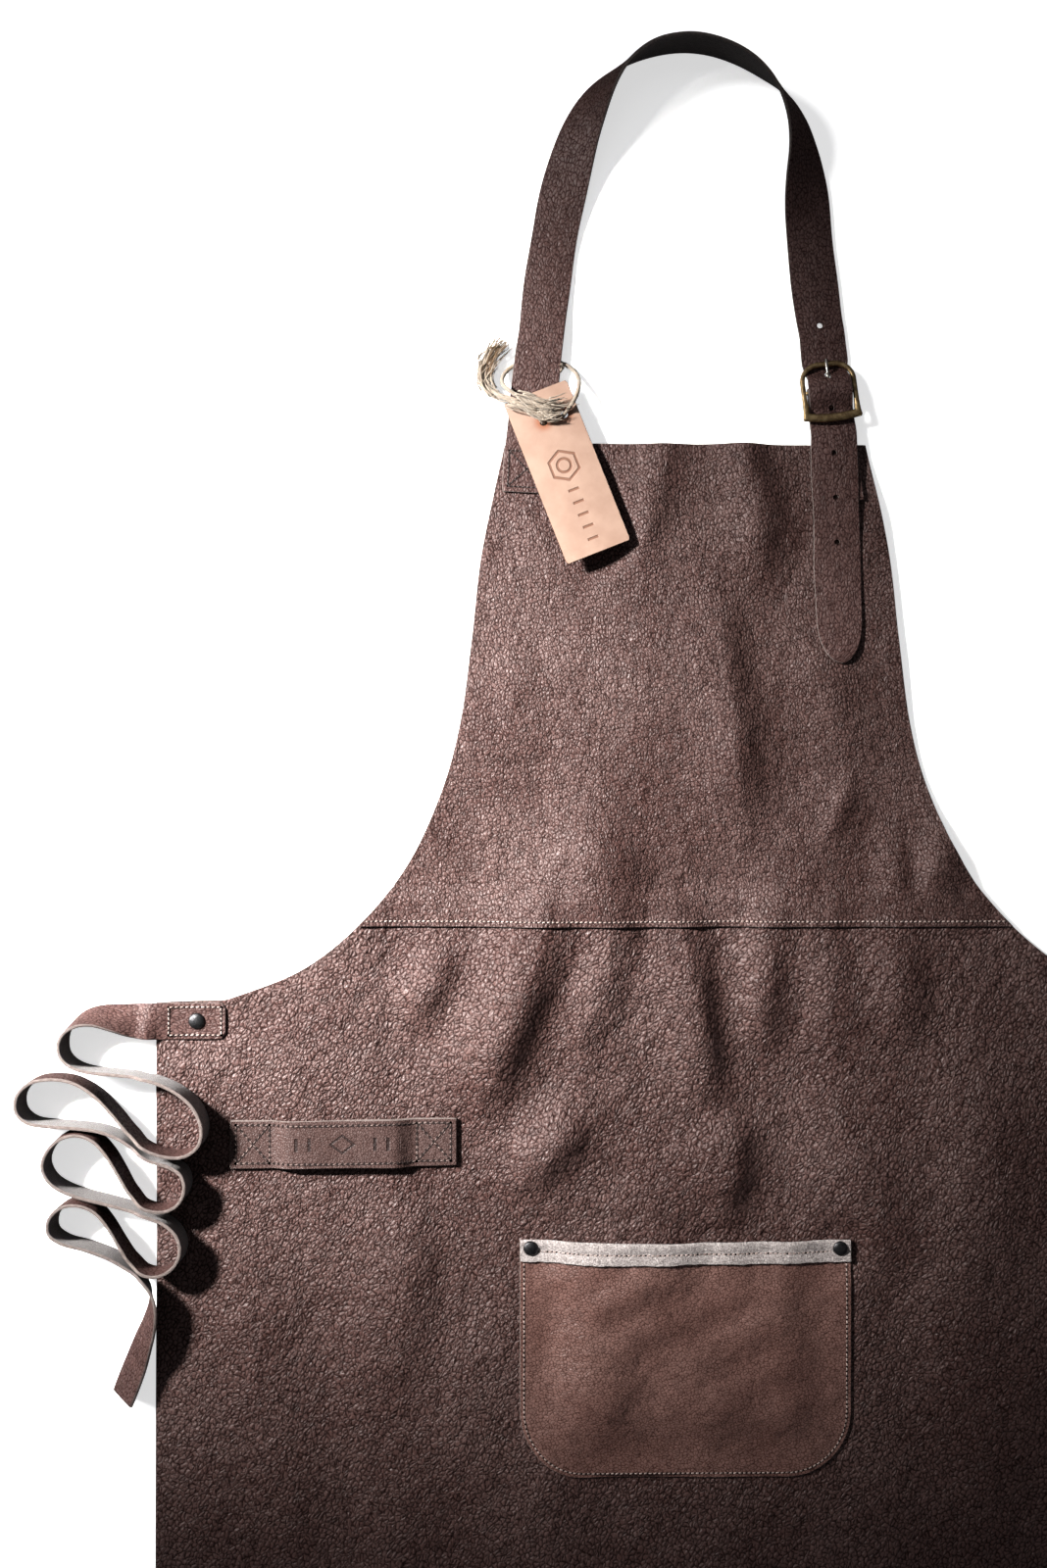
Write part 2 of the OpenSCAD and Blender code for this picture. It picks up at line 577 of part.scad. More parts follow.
module tag_cord() {
  color("#e6d9c4") place() cord(
    smooth_path([for (p = twine_route) [p[0], p[1] + skirt_h, p[2]]], 2), twine_d, 8);
}

skirt_panel();
bib_panel();
seam_thread();
pocket_panel();
pocket_thread();
pocket_hem_thread();
pocket_rivet_caps();
pocket_rivet_posts();
towel_loop_front();
towel_loop_back();
towel_loop_thread();
waist_strap_left();
waist_strap_right();
waist_thread_left();
waist_thread_right();
waist_rivet_caps();
waist_rivet_posts();
neck_strap();
neck_strap_thread();
buckle_chape();
chape_thread();
buckle_frame();
buckle_prong();
hang_tag();
tag_cord();
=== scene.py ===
"""The looks of a leather welding apron laid out flat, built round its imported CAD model.

Lengths are in millimetres until a mesh is made: x runs across from the centre line, v up from
the hem and z up from the table, as in the CAD model. Every leather piece is a closed sheet
with a grain side, a flesh side and a cut edge.
"""

import math
import random

import bpy
import numpy as np
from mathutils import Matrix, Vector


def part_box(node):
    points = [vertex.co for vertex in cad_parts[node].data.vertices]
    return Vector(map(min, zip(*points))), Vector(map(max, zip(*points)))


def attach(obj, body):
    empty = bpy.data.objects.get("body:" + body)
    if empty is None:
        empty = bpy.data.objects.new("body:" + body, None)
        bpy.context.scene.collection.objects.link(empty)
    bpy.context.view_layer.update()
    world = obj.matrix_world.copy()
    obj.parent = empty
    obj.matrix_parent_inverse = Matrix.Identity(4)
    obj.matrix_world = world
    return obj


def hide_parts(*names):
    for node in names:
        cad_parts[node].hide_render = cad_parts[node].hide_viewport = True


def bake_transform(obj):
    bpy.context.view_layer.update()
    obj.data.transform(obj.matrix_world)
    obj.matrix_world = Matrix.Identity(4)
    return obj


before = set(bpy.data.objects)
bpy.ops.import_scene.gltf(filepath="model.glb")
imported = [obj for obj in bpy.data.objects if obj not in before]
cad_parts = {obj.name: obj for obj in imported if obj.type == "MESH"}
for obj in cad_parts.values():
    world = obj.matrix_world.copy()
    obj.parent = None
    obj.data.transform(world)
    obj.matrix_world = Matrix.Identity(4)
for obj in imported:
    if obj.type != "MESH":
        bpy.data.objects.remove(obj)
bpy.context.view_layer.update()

MM = 0.001
HEM_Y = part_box("skirt_panel")[0].y / MM           # the hem, in the row frame
SEAM_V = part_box("bib_panel")[0].y / MM - HEM_Y    # lower edge of the bib
TOP_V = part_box("bib_panel")[1].y / MM - HEM_Y     # upper edge of the bib
SKIRT_W = (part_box("skirt_panel")[1].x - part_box("skirt_panel")[0].x) / MM
LAP_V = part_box("skirt_panel")[1].y / MM - HEM_Y   # upper edge of the skirt, under the bib
PANEL_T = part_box("skirt_panel")[1].z / MM
rng = random.Random(11)


# ---- numbers and curves

def ease(t):
    """0 below 0, 1 above 1 and smooth between."""
    u = np.clip(t, 0, 1)
    return u * u * (3 - 2 * u)


def smooth_path(points, steps):
    """A smooth curve through points, each span cut into steps."""
    p = np.asarray(points, float)
    made = []
    for i in range(len(p) - 1):
        a, b, c, d = p[max(i - 1, 0)], p[i], p[i + 1], p[min(i + 2, len(p) - 1)]
        for t in np.arange(steps) / steps:
            made.append(0.5 * (2 * b + (c - a) * t + (2 * a - 5 * b + 4 * c - d) * t * t
                               + (3 * b - a - 3 * c + d) * t ** 3))
    made.append(p[-1])
    return np.array(made)


def unit(a):
    """Vectors cut or stretched to a length of 1."""
    return a / np.maximum(np.linalg.norm(a, axis=-1, keepdims=True), 1e-9)


def lengths(points):
    """How far along its line each point is."""
    steps = np.linalg.norm(np.diff(points, axis=0), axis=1)
    return np.concatenate([[0], np.cumsum(steps)])


def places(a, b, step):
    """Evenly spaced numbers from a to b."""
    return np.linspace(a, b, max(2, int(round(abs(b - a) / step)) + 1))


# ---- the lie of the leather

# Side edge of the apron, from the bib's top corner to the skirt's top corner: x and v
SIDE = smooth_path([(111, 856), (125, 790), (131, 738), (138, 686), (150, 642), (171, 597),
                    (201, 560), (237, 532), (283, 514)], 12)
SIDE = np.vstack([SIDE, [(SKIRT_W / 2, 513)]])

# Folds of the leather: height, width to the west and to the east, share of the height at
# the start, and the crest from its upper end down
FOLDS = [
    (7.4, 25, 15, 0.55, [(-88, 556), (-98, 524), (-112, 491), (-122, 462), (-132, 425)]),
    (3.6, 14, 12, 0.7, [(-43, 556), (-52, 524), (-64, 494), (-74, 462)]),
    (6.0, 20, 11, 0.5, [(0, 556), (3, 530), (8, 500), (12, 465), (22, 434)]),
    (4.2, 11, 12, 0.6, [(49, 556), (47, 530), (47, 500), (52, 470)]),
    (3.6, 13, 16, 0.6, [(86, 556), (88, 525), (89, 500), (84, 470)]),
    (3.2, 14, 14, 0.6, [(128, 552), (132, 520), (138, 480)]),
    (4.2, 14, 10, 0.3, [(-146, 548), (-153, 530), (-164, 508), (-172, 488)]),
    (5.2, 16, 12, 0.2, [(-62, 448), (-72, 434), (-88, 420), (-98, 400), (-101, 382)]),
    (5.6, 24, 13, 0.2, [(18, 452), (26, 430), (27, 408), (20, 390), (-4, 376)]),
    (3.4, 20, 20, 0.2, [(118, 440), (112, 410), (122, 372), (124, 330)]),
    (2.6, 26, 16, 0.2, [(-176, 400), (-170, 350), (-178, 290), (-172, 230)]),
    (2.4, 20, 24, 0.2, [(-122, 340), (-128, 280), (-121, 220), (-126, 150)]),
    (3.2, 22, 26, 0.2, [(168, 500), (180, 430), (172, 350), (180, 260)]),
    (3.0, 30, 22, 0.2, [(236, 470), (250, 380), (242, 290), (252, 200)]),
    (2.6, 30, 26, 0.2, [(-250, 380), (-258, 300), (-246, 220), (-254, 120)]),
    (2.6, 30, 30, 0.2, [(20, 200), (10, 140), (22, 80), (14, 30)]),
    (2.3, 14, 10, 1.0, [(-13, 858), (-16, 840), (-20, 820), (-27, 798), (-36, 770)]),
    (4.2, 15, 14, 1.0, [(38, 858), (42, 838), (45, 815), (42, 785), (36, 752)]),
    (4.4, 38, 13, 0.1, [(12, 778), (20, 738), (26, 690), (31, 640), (30, 600), (26, 578)]),
    (4.4, 30, 24, 0.2, [(-30, 618), (-42, 600), (-60, 584), (-78, 572), (-90, 562)]),
    (1.6, 4, 7, 0.3, [(101, 650), (94, 632), (86, 617), (80, 606)]),
    (2.6, 10, 6, 0.3, [(132, 612), (130, 596), (131, 582), (133, 570)]),
    (3.2, 8, 16, 0.3, [(158, 618), (154, 602), (152, 588), (153, 572)]),
    (2.6, 30, 34, 0.2, [(-95, 742), (-101, 700), (-112, 660), (-124, 630)]),
    (2.4, 16, 18, 0.2, [(84, 742), (88, 710), (96, 680), (98, 655)]),
]

# Table widths to fold widths, to the west and to the east, and table heights to fold heights
WEST_SCALE, EAST_SCALE, FOLD_SCALE = 1.15, 1.2, 2.1
# Height of the long waves, and how much of them is kept above the table
WAVE_SCALE, WAVE_FLOOR = 1.5, 1.3

# Places where rivets, sewn ends and the tag hold the leather flat: x, v and radius
CALM = [(-95, 362, 26), (95, 362, 26), (-300, 501, 34), (300, 501, 34), (92, 862, 62),
        (-98, 850, 44), (-92, 892, 40), (-72, 828, 34), (-58, 800, 34)]


def fold(x, v, height, west, east, start, crest):
    """One fold: a rounded ridge that fades towards its lower end."""
    p = np.array(crest, float)
    west, east = WEST_SCALE * west, EAST_SCALE * east
    along = lengths(p)
    best, east_side, share = np.full(x.shape, 1e9), np.zeros(x.shape), np.zeros(x.shape)
    for k in range(len(p) - 1):
        d = p[k + 1] - p[k]
        t = np.clip(((x - p[k][0]) * d[0] + (v - p[k][1]) * d[1]) / (d @ d), 0, 1)
        ex, ev = x - p[k][0] - t * d[0], v - p[k][1] - t * d[1]
        off = np.hypot(ex, ev)
        near = off < best
        best = np.where(near, off, best)
        east_side = np.where(near, ease(0.5 + (d[0] * ev - d[1] * ex) / 12 / math.sqrt(d @ d)),
                             east_side)
        share = np.where(near, (along[k] + t * (along[k + 1] - along[k])) / along[-1], share)
    width = west + (east - west) * east_side
    rise = start + (1 - start) * ease(share / 0.3)
    fade = 1 - ease((share - 0.5) / 0.5)
    return FOLD_SCALE * height * rise * fade * np.exp(-(best / width) ** 2)


def make_waves():
    """Long, low waves of the whole hide, as (height, across, up, phase)."""
    made = []
    for wave in (230, 170, 140, 110, 92, 78, 64, 52):
        turn = rng.uniform(-0.5, 0.5)
        made.append((wave / 230, math.cos(turn) * 6.28 / wave, math.sin(turn) * 6.28 / wave,
                     rng.uniform(0, 6.28)))
    return made


WAVES = make_waves()


def swell(x, v):
    """How far the leather of the panels lies above the table at a place."""
    x, v = np.broadcast_arrays(np.asarray(x, float), np.asarray(v, float))
    high = sum(fold(x, v, *f) for f in FOLDS)
    wave = sum(a * np.sin(i * x + j * v + p) for a, i, j, p in WAVES)
    high = high + WAVE_SCALE * np.clip(wave + WAVE_FLOOR, 0, None)
    for cx, cv, r in CALM:
        high = high * ease((np.hypot(x - cx, v - cv) - 0.35 * r) / (0.65 * r))
    return high


# ---- meshes

def build(name, verts, faces, uvs, kinds, materials, body, sharp=None):
    """A mesh piece from points in millimetres, with a map of the hide in metres."""
    verts = np.asarray(verts, float) * MM
    verts[:, 1] += HEM_Y * MM
    mesh = bpy.data.meshes.new(name)
    mesh.from_pydata(verts.tolist(), [], [list(f) for f in faces])
    layer = mesh.uv_layers.new(name="hide")
    layer.data.foreach_set("uv", (np.asarray(uvs, float) * MM).ravel())
    for m in materials:
        mesh.materials.append(m)
    mesh.polygons.foreach_set("material_index", np.asarray(kinds, np.int32))
    mesh.polygons.foreach_set("use_smooth", np.ones(len(mesh.polygons), bool))
    if sharp:
        marks = mesh.attributes.new("sharp_edge", "BOOLEAN", "EDGE")
        ends = np.zeros(len(mesh.edges) * 2, np.int32)
        mesh.edges.foreach_get("vertices", ends)
        loops = np.full(len(verts), -1)
        for k, loop in enumerate(sharp):
            loops[loop] = k
        a, b = loops[ends[::2]], loops[ends[1::2]]
        marks.data.foreach_set("value", (a >= 0) & (a == b))
    mesh.update()
    piece = bpy.data.objects.new(name, mesh)
    bpy.context.scene.collection.objects.link(piece)
    if body:
        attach(piece, body)
    return piece


def slab(name, top, uv, thick, materials, body, bulge=0.3, bottom=None):
    """A closed sheet under a grid of points. Its rim is a rounded cut edge."""
    rows, cols = top.shape[:2]
    n = unit(np.cross(np.gradient(top, axis=1), np.gradient(top, axis=0)))
    under = top - n * thick if bottom is None else bottom
    count = rows * cols
    grid = np.arange(count).reshape(rows, cols)
    ring = np.concatenate([grid[0, :-1], grid[:-1, -1], grid[-1, :0:-1], grid[:0:-1, 0]])
    flat = top.reshape(-1, 3)
    along = unit(np.roll(flat[ring], -1, axis=0) - np.roll(flat[ring], 1, axis=0))
    out = unit(np.cross(along, n.reshape(-1, 3)[ring]))
    lip = min(bulge, thick * 0.35)
    gap = flat[ring] - under.reshape(-1, 3)[ring]
    down = unit(gap)
    upper = flat[ring] + out * bulge - down * lip
    lower = under.reshape(-1, 3)[ring] + out * bulge * 0.8 + down * lip
    verts = np.vstack([flat, under.reshape(-1, 3), upper, lower])
    a, b = grid[:-1, :-1].ravel(), grid[:-1, 1:].ravel()
    c, d = grid[1:, 1:].ravel(), grid[1:, :-1].ravel()
    top_faces = np.stack([a, b, c, d], 1)
    low_faces = np.stack([d, c, b, a], 1) + count
    size = len(ring)
    here, after = np.arange(size), np.roll(np.arange(size), -1)
    rings = [ring, 2 * count + here, 2 * count + size + here, ring + count]
    walls = [np.stack([r[here], s[here], s[after], r[after]], 1)
             for r, s in zip(rings, rings[1:])]
    faces = np.vstack([top_faces, low_faces] + walls)
    flat_uv = uv.reshape(-1, 2)
    run = lengths(np.vstack([flat[ring], flat[ring[:1]]]))
    wall_uv = []
    for k in range(3):
        low, high = thick * k / 3, thick * (k + 1) / 3
        wall_uv.append(np.stack([run[:-1], np.full(size, low), run[:-1], np.full(size, high),
                                 run[1:], np.full(size, high), run[1:], np.full(size, low)],
                                1).reshape(-1, 2))
    uvs = np.vstack([flat_uv[top_faces].reshape(-1, 2),
                     flat_uv[low_faces - count].reshape(-1, 2)] + wall_uv)
    kinds = np.repeat([0, 1, 2], [len(top_faces), len(low_faces), 3 * size])
    return build(name, verts, faces, uvs, kinds, materials, body,
                 sharp=[ring, ring + count])


def tube(points, radius, sides=8, lobes=0, turns=0.0, depth=0.0):
    """Points, faces and map of a round tube, or of a lobed one that turns like a rope."""
    points = np.asarray(points, float)
    n = len(points)
    radius = np.broadcast_to(np.asarray(radius, float), (n,))
    t = unit(np.gradient(points, axis=0))
    up = np.array([0.0, 0.0, 1.0])
    run = lengths(points)
    verts = []
    for i in range(n):
        side = np.cross(t[i], up)
        if np.linalg.norm(side) < 1e-3:
            side = np.cross(t[i], [1.0, 0.0, 0.0])
        side = unit(side)
        up = unit(np.cross(side, t[i]))
        turn = np.arange(sides) * 2 * math.pi / sides
        r = radius[i]
        if lobes:
            r = r * (1 - depth + depth * np.abs(np.cos(lobes / 2 * (turn - turns * run[i]))))
        verts.append(points[i] + (side * np.cos(turn)[:, None]
                                  + up * np.sin(turn)[:, None]) * np.reshape(r, (-1, 1)))
    verts = np.vstack(verts)
    i, j = np.meshgrid(np.arange(n - 1), np.arange(sides), indexing="ij")
    a, b = (i * sides + j).ravel(), (i * sides + (j + 1) % sides).ravel()
    faces = np.stack([a, b, b + sides, a + sides], 1).tolist()
    faces += [list(range(sides))[::-1], [(n - 1) * sides + k for k in range(sides)]]
    uvs = []
    for f in faces:
        for q in f:
            uvs.append((run[q // sides], (q % sides) * 0.6))
    return verts, faces, np.array(uvs)


def join(parts):
    """Several (points, faces, map) as one."""
    verts, faces, uvs, start = [], [], [], 0
    for p, f, u in parts:
        verts.append(p)
        faces += [[k + start for k in q] for q in f]
        uvs.append(u)
        start += len(p)
    return np.vstack(verts), faces, np.vstack(uvs)


def solid(name, parts, material, body):
    verts, faces, uvs = join(parts)
    return build(name, verts, faces, uvs, [0] * len(faces), [material], body)


# Along one stitch: its share of the length, of the thickness and its height
STITCH = ((0.0, 0.35, -0.25), (0.14, 0.92, 0.1), (0.5, 1.0, 0.22), (0.86, 0.92, 0.1),
          (1.0, 0.35, -0.25))


def stitches(name, runs, materials, body, slot, pitch=2.9, width=0.42, hole=0.66):
    """Separate stitches along runs of points on the leather, with a dark disc of painted shade
    for the needle hole at each end.
    """
    verts, faces, kinds, uvs = [], [], [], []
    sides, lean = 6, 9
    for run in runs:
        run = np.asarray(run, float)
        along = lengths(run)
        count = max(1, int(round(along[-1] / pitch)))
        step = along[-1] / count
        at = np.arange(count + 1) * step
        spot = np.stack([np.interp(at, along, run[:, k]) for k in range(3)], 1)
        for k in range(count):
            a, b = spot[k], spot[k + 1]
            way = unit(b - a)
            turn = math.radians(lean + rng.uniform(-4, 4))
            way = np.array([way[0] * math.cos(turn) - way[1] * math.sin(turn),
                            way[0] * math.sin(turn) + way[1] * math.cos(turn), way[2]])
            middle, half = (a + b) / 2, step * 0.36 * rng.uniform(0.93, 1.05)
            side = unit(np.cross(way, [0, 0, 1.0]))
            base = len(verts)
            for share, size, lift in STITCH:
                c = middle + way * half * (2 * share - 1) + np.array([0, 0, lift])
                for w in np.arange(sides) * 2 * math.pi / sides:
                    ray = side * math.cos(w) + np.array([0, 0, math.sin(w)])
                    verts.append(c + ray * width * size)
            for i in range(len(STITCH) - 1):
                for q in range(sides):
                    p, r = base + i * sides + q, base + i * sides + (q + 1) % sides
                    faces.append([p, p + sides, r + sides, r])
                    uvs += [(k, q * 0.2), (k + 0.5, q * 0.2), (k + 0.5, q * 0.2 + 0.2),
                            (k, q * 0.2 + 0.2)]
                    kinds.append(0)
        # A dark disc of painted shade over each needle hole.
        for c in spot:
            base = len(verts)
            for w in np.arange(8) * math.pi / 4:
                verts.append(c + np.array([math.cos(w) * hole, math.sin(w) * hole, 0.12]))
            faces.append([base + q for q in range(8)])
            uvs += [(math.cos(q), math.sin(q)) for q in range(8)]
            kinds.append(1)
    return build(name, verts, faces, uvs, kinds, materials, body)


def between(a, b, count=None):
    """x and v of points on a straight line, two millimetres apart unless counted."""
    count = count or max(2, int(math.dist(a, b) / 2))
    return np.linspace(a[0], b[0], count), np.linspace(a[1], b[1], count)


def sew(name, node, runs, kind, body, slot, **how):
    """Stitches that stand for a CAD node's thread."""
    sewn = stitches(name, runs, [LOOKS[kind], LOOKS["hole"]], body, slot, **how)
    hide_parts(node)


# ---- materials

class Look:
    """A material's nodes, made one call at a time."""

    def __init__(self, name):
        self.mat = bpy.data.materials.new(name)
        self.mat.use_nodes = True
        self.tree = self.mat.node_tree
        self.tree.nodes.clear()
        self.shader = self.node("ShaderNodeBsdfPrincipled")
        out = self.node("ShaderNodeOutputMaterial")
        self.tree.links.new(self.shader.outputs[0], out.inputs[0])
        self.uv = self.node("ShaderNodeUVMap", uv_map="hide").outputs[0]

    def node(self, kind, inputs=None, **values):
        made = self.tree.nodes.new(kind)
        for key, value in values.items():
            setattr(made, key, value)
        for key, value in (inputs or {}).items():
            self.put(made.inputs[key], value)
        return made

    def put(self, socket, value):
        if isinstance(value, bpy.types.NodeSocket):
            self.tree.links.new(value, socket)
        else:
            socket.default_value = value

    def set(self, **values):
        for key, value in values.items():
            self.put(self.shader.inputs[key.replace("_", " ")], value)

    def math(self, how, a, b=0.0, c=0.0):
        made = self.node("ShaderNodeMath", operation=how)
        for socket, value in zip(made.inputs, (a, b, c)):
            self.put(socket, value)
        return made.outputs[0]

    def span(self, value, low, high, to_low=0.0, to_high=1.0):
        """A value's place between two others, as a smooth step."""
        made = self.node("ShaderNodeMapRange", {"Value": value, "From Min": low,
                         "From Max": high, "To Min": to_low, "To Max": to_high},
                         interpolation_type="SMOOTHSTEP")
        return made.outputs[0]

    def mix(self, share, a, b):
        made = self.node("ShaderNodeMix", data_type="RGBA")
        self.put(made.inputs["Factor"], share)
        for name, value in (("A", a), ("B", b)):
            socket = next(s for s in made.inputs if s.name == name and s.type == "RGBA")
            self.put(socket, value if isinstance(value, bpy.types.NodeSocket)
                     else (*value, 1.0))
        return next(s for s in made.outputs if s.type == "RGBA")

    def stretched(self, x, y):
        """The map made finer across and along."""
        made = self.node("ShaderNodeVectorMath", operation="MULTIPLY")
        self.put(made.inputs[0], self.uv)
        made.inputs[1].default_value = (x, y, 1.0)
        return made.outputs[0]

    def turned(self, turn, x, y):
        """The map turned by an angle in degrees and then stretched."""
        made = self.node("ShaderNodeMapping", vector_type="TEXTURE")
        self.put(made.inputs["Vector"], self.uv)
        made.inputs["Rotation"].default_value = (0, 0, math.radians(turn))
        made.inputs["Scale"].default_value = (x, y, 1.0)
        return made.outputs[0]

    def noise(self, scale, detail=2.0, rough=0.5, at=None):
        return self.node("ShaderNodeTexNoise", {"Vector": at or self.uv, "Scale": scale,
                         "Detail": detail, "Roughness": rough}).outputs["Fac"]

    def warped(self, scale, amount, at=None):
        """The map, pushed about by a noise."""
        at = at or self.uv
        cloud = self.node("ShaderNodeTexNoise", {"Vector": at, "Scale": scale,
                          "Detail": 3.0}).outputs["Color"]
        centred = self.node("ShaderNodeVectorMath", operation="SUBTRACT")
        self.put(centred.inputs[0], cloud)
        centred.inputs[1].default_value = (0.5, 0.5, 0.5)
        scaled = self.node("ShaderNodeVectorMath", operation="SCALE")
        self.put(scaled.inputs[0], centred.outputs[0])
        scaled.inputs["Scale"].default_value = amount
        moved = self.node("ShaderNodeVectorMath", operation="ADD")
        self.put(moved.inputs[0], at)
        self.put(moved.inputs[1], scaled.outputs[0])
        return moved.outputs[0]

    def cells(self, scale, at):
        """Distance to the edges of a hide's cells."""
        return self.node("ShaderNodeTexVoronoi", {"Vector": at, "Scale": scale},
                         voronoi_dimensions="2D",
                         feature="DISTANCE_TO_EDGE").outputs["Distance"]

    def bump(self, height, distance):
        made = self.node("ShaderNodeBump", {"Height": height, "Distance": distance})
        self.set(Normal=made.outputs[0])


def grain(name, cell, colours, depth, rough=(0.40, 0.58), turn=45, long_cells=1.5,
          spec=0.5, wrinkle=0.35, extra=None):
    """Full-grain leather: rounded pebbles about one cell wide, on softer lumps."""
    look = Look(name)
    dark, middle, light = colours
    at = look.warped(1000 / (cell * 7), cell * MM * 2.4,
                     look.turned(turn, long_cells, 1.0))
    at = look.warped(1000 / (cell * 1.6), cell * MM * 0.5, at)
    coarse = look.math("POWER", look.span(look.cells(1000 / cell, at), 0.0, 0.5), 0.65)
    fine = look.math("POWER", look.span(look.cells(1000 / (cell * 0.5), at), 0.0, 0.5), 0.7)
    dust = look.noise(1000 / (cell * 0.3), 1.5)
    swirl = look.noise(1000 / (cell * 1.15), 2.5, 0.55, at)
    lump = look.noise(1000 / (cell * 3.6), 2.0, 0.5, at)
    long = look.noise(1000 / 16.0, 3.0, 0.55, look.warped(1000 / 40.0, 0.02))
    pebble = look.math("MULTIPLY_ADD", fine, 0.28, look.math("MULTIPLY", coarse, 0.72))
    high = look.math("MULTIPLY_ADD", dust, 0.12, look.math("MULTIPLY", pebble, 0.5))
    high = look.math("MULTIPLY_ADD", swirl, 1.3, high)
    high = look.math("MULTIPLY_ADD", lump, 1.7, high)
    high = look.math("MULTIPLY_ADD", long, wrinkle * 6.0, high)
    patch = look.span(look.noise(1000 / 75.0, 3.0, 0.6), 0.32, 0.7)
    tone = look.mix(patch, middle, light)
    fleck = look.span(look.noise(1000 / 9.0, 3.0, 0.6), 0.4, 0.75)
    tone = look.mix(look.math("MULTIPLY", fleck, 0.35), tone, dark)
    # Painted shade: the colour is pulled towards the darkest colour in the grooves between the
    # pebbles.
    colour = look.mix(look.span(look.math("MULTIPLY_ADD", swirl, 0.9, pebble),
                                0.5, 1.0, 0.85, 0.0), tone, dark)
    sheen = look.span(pebble, 0.2, 0.9, rough[1], rough[0])
    if extra:
        colour, high = extra(look, colour, high)
    gloss = look.span(look.math("MULTIPLY_ADD", swirl, 1.2, pebble), 0.5, 1.3, 0.05, spec)
    look.set(Base_Color=colour, Roughness=sheen, Specular_IOR_Level=gloss)
    look.bump(high, depth * MM)
    return look.mat


def suede(name, colour, dark, depth=0.5, scale=1.0):
    """The flesh side: matted fibres, paler where they stand up."""
    look = Look(name)
    at = look.warped(1000 / 3.0, 0.0012)
    fibre = look.noise(1000 / (0.55 * scale), 4.0, 0.7, at)
    mat = look.noise(1000 / (2.4 * scale), 4.0, 0.65, at)
    tone = look.mix(look.span(fibre, 0.3, 0.72), dark, colour)
    tone = look.mix(look.span(mat, 0.35, 0.7, 0.0, 0.55), tone, dark)
    high = look.math("MULTIPLY_ADD", mat, 1.4, fibre)
    look.set(Base_Color=tone, Roughness=0.95, Specular_IOR_Level=0.15, Sheen_Weight=0.35,
             Sheen_Roughness=0.5)
    look.bump(high, depth * MM)
    return look.mat


def cut_edge(name, colour, dark):
    """A cut edge: layered fibres that run along it."""
    look = Look(name)
    layers = look.noise(1000 / 0.7, 4.0, 0.7, look.stretched(0.25, 2.2))
    tone = look.mix(look.span(layers, 0.3, 0.7), dark, colour)
    look.set(Base_Color=tone, Roughness=0.85, Specular_IOR_Level=0.25)
    look.bump(layers, 0.3 * MM)
    return look.mat


def thread(name, colour, dark):
    """Waxed sewing thread with its twist."""
    look = Look(name)
    twist = look.node("ShaderNodeTexWave", {"Vector": look.uv, "Scale": 700.0,
                      "Distortion": 1.5}, bands_direction="DIAGONAL").outputs["Fac"]
    tone = look.mix(look.span(look.noise(300.0, 2.0), 0.35, 0.65), dark, colour)
    look.set(Base_Color=look.mix(look.math("MULTIPLY", twist, 0.4), tone, dark),
             Roughness=0.5, Specular_IOR_Level=0.5)
    look.bump(twist, 0.15 * MM)
    return look.mat


def metal(name, colour, worn, stain, rough):
    """Plated metal, worn bright in places and dull in others."""
    look = Look(name)
    blot = look.noise(1000 / 4.0, 5.0, 0.62)
    fine = look.noise(1000 / 0.6, 3.0, 0.7)
    tone = look.mix(look.span(blot, 0.38, 0.66), stain, colour)
    tone = look.mix(look.span(fine, 0.55, 0.8, 0.0, 0.6), tone, worn)
    look.set(Base_Color=tone, Metallic=1.0,
             Roughness=look.span(blot, 0.3, 0.7, rough + 0.16, rough))
    look.bump(look.math("ADD", fine, blot), 0.12 * MM)
    return look.mat


def needle_hole_shade_look():
    """Painted shade: a dark disc that stands for the shadowed mouth of a needle hole."""
    look = Look("needle_hole_painted_shade")
    tone = look.mix(look.noise(900.0, 2.0), (0.012, 0.008, 0.008), (0.03, 0.02, 0.018))
    look.set(Base_Color=tone, Roughness=0.9, Specular_IOR_Level=0.1)
    return look.mat


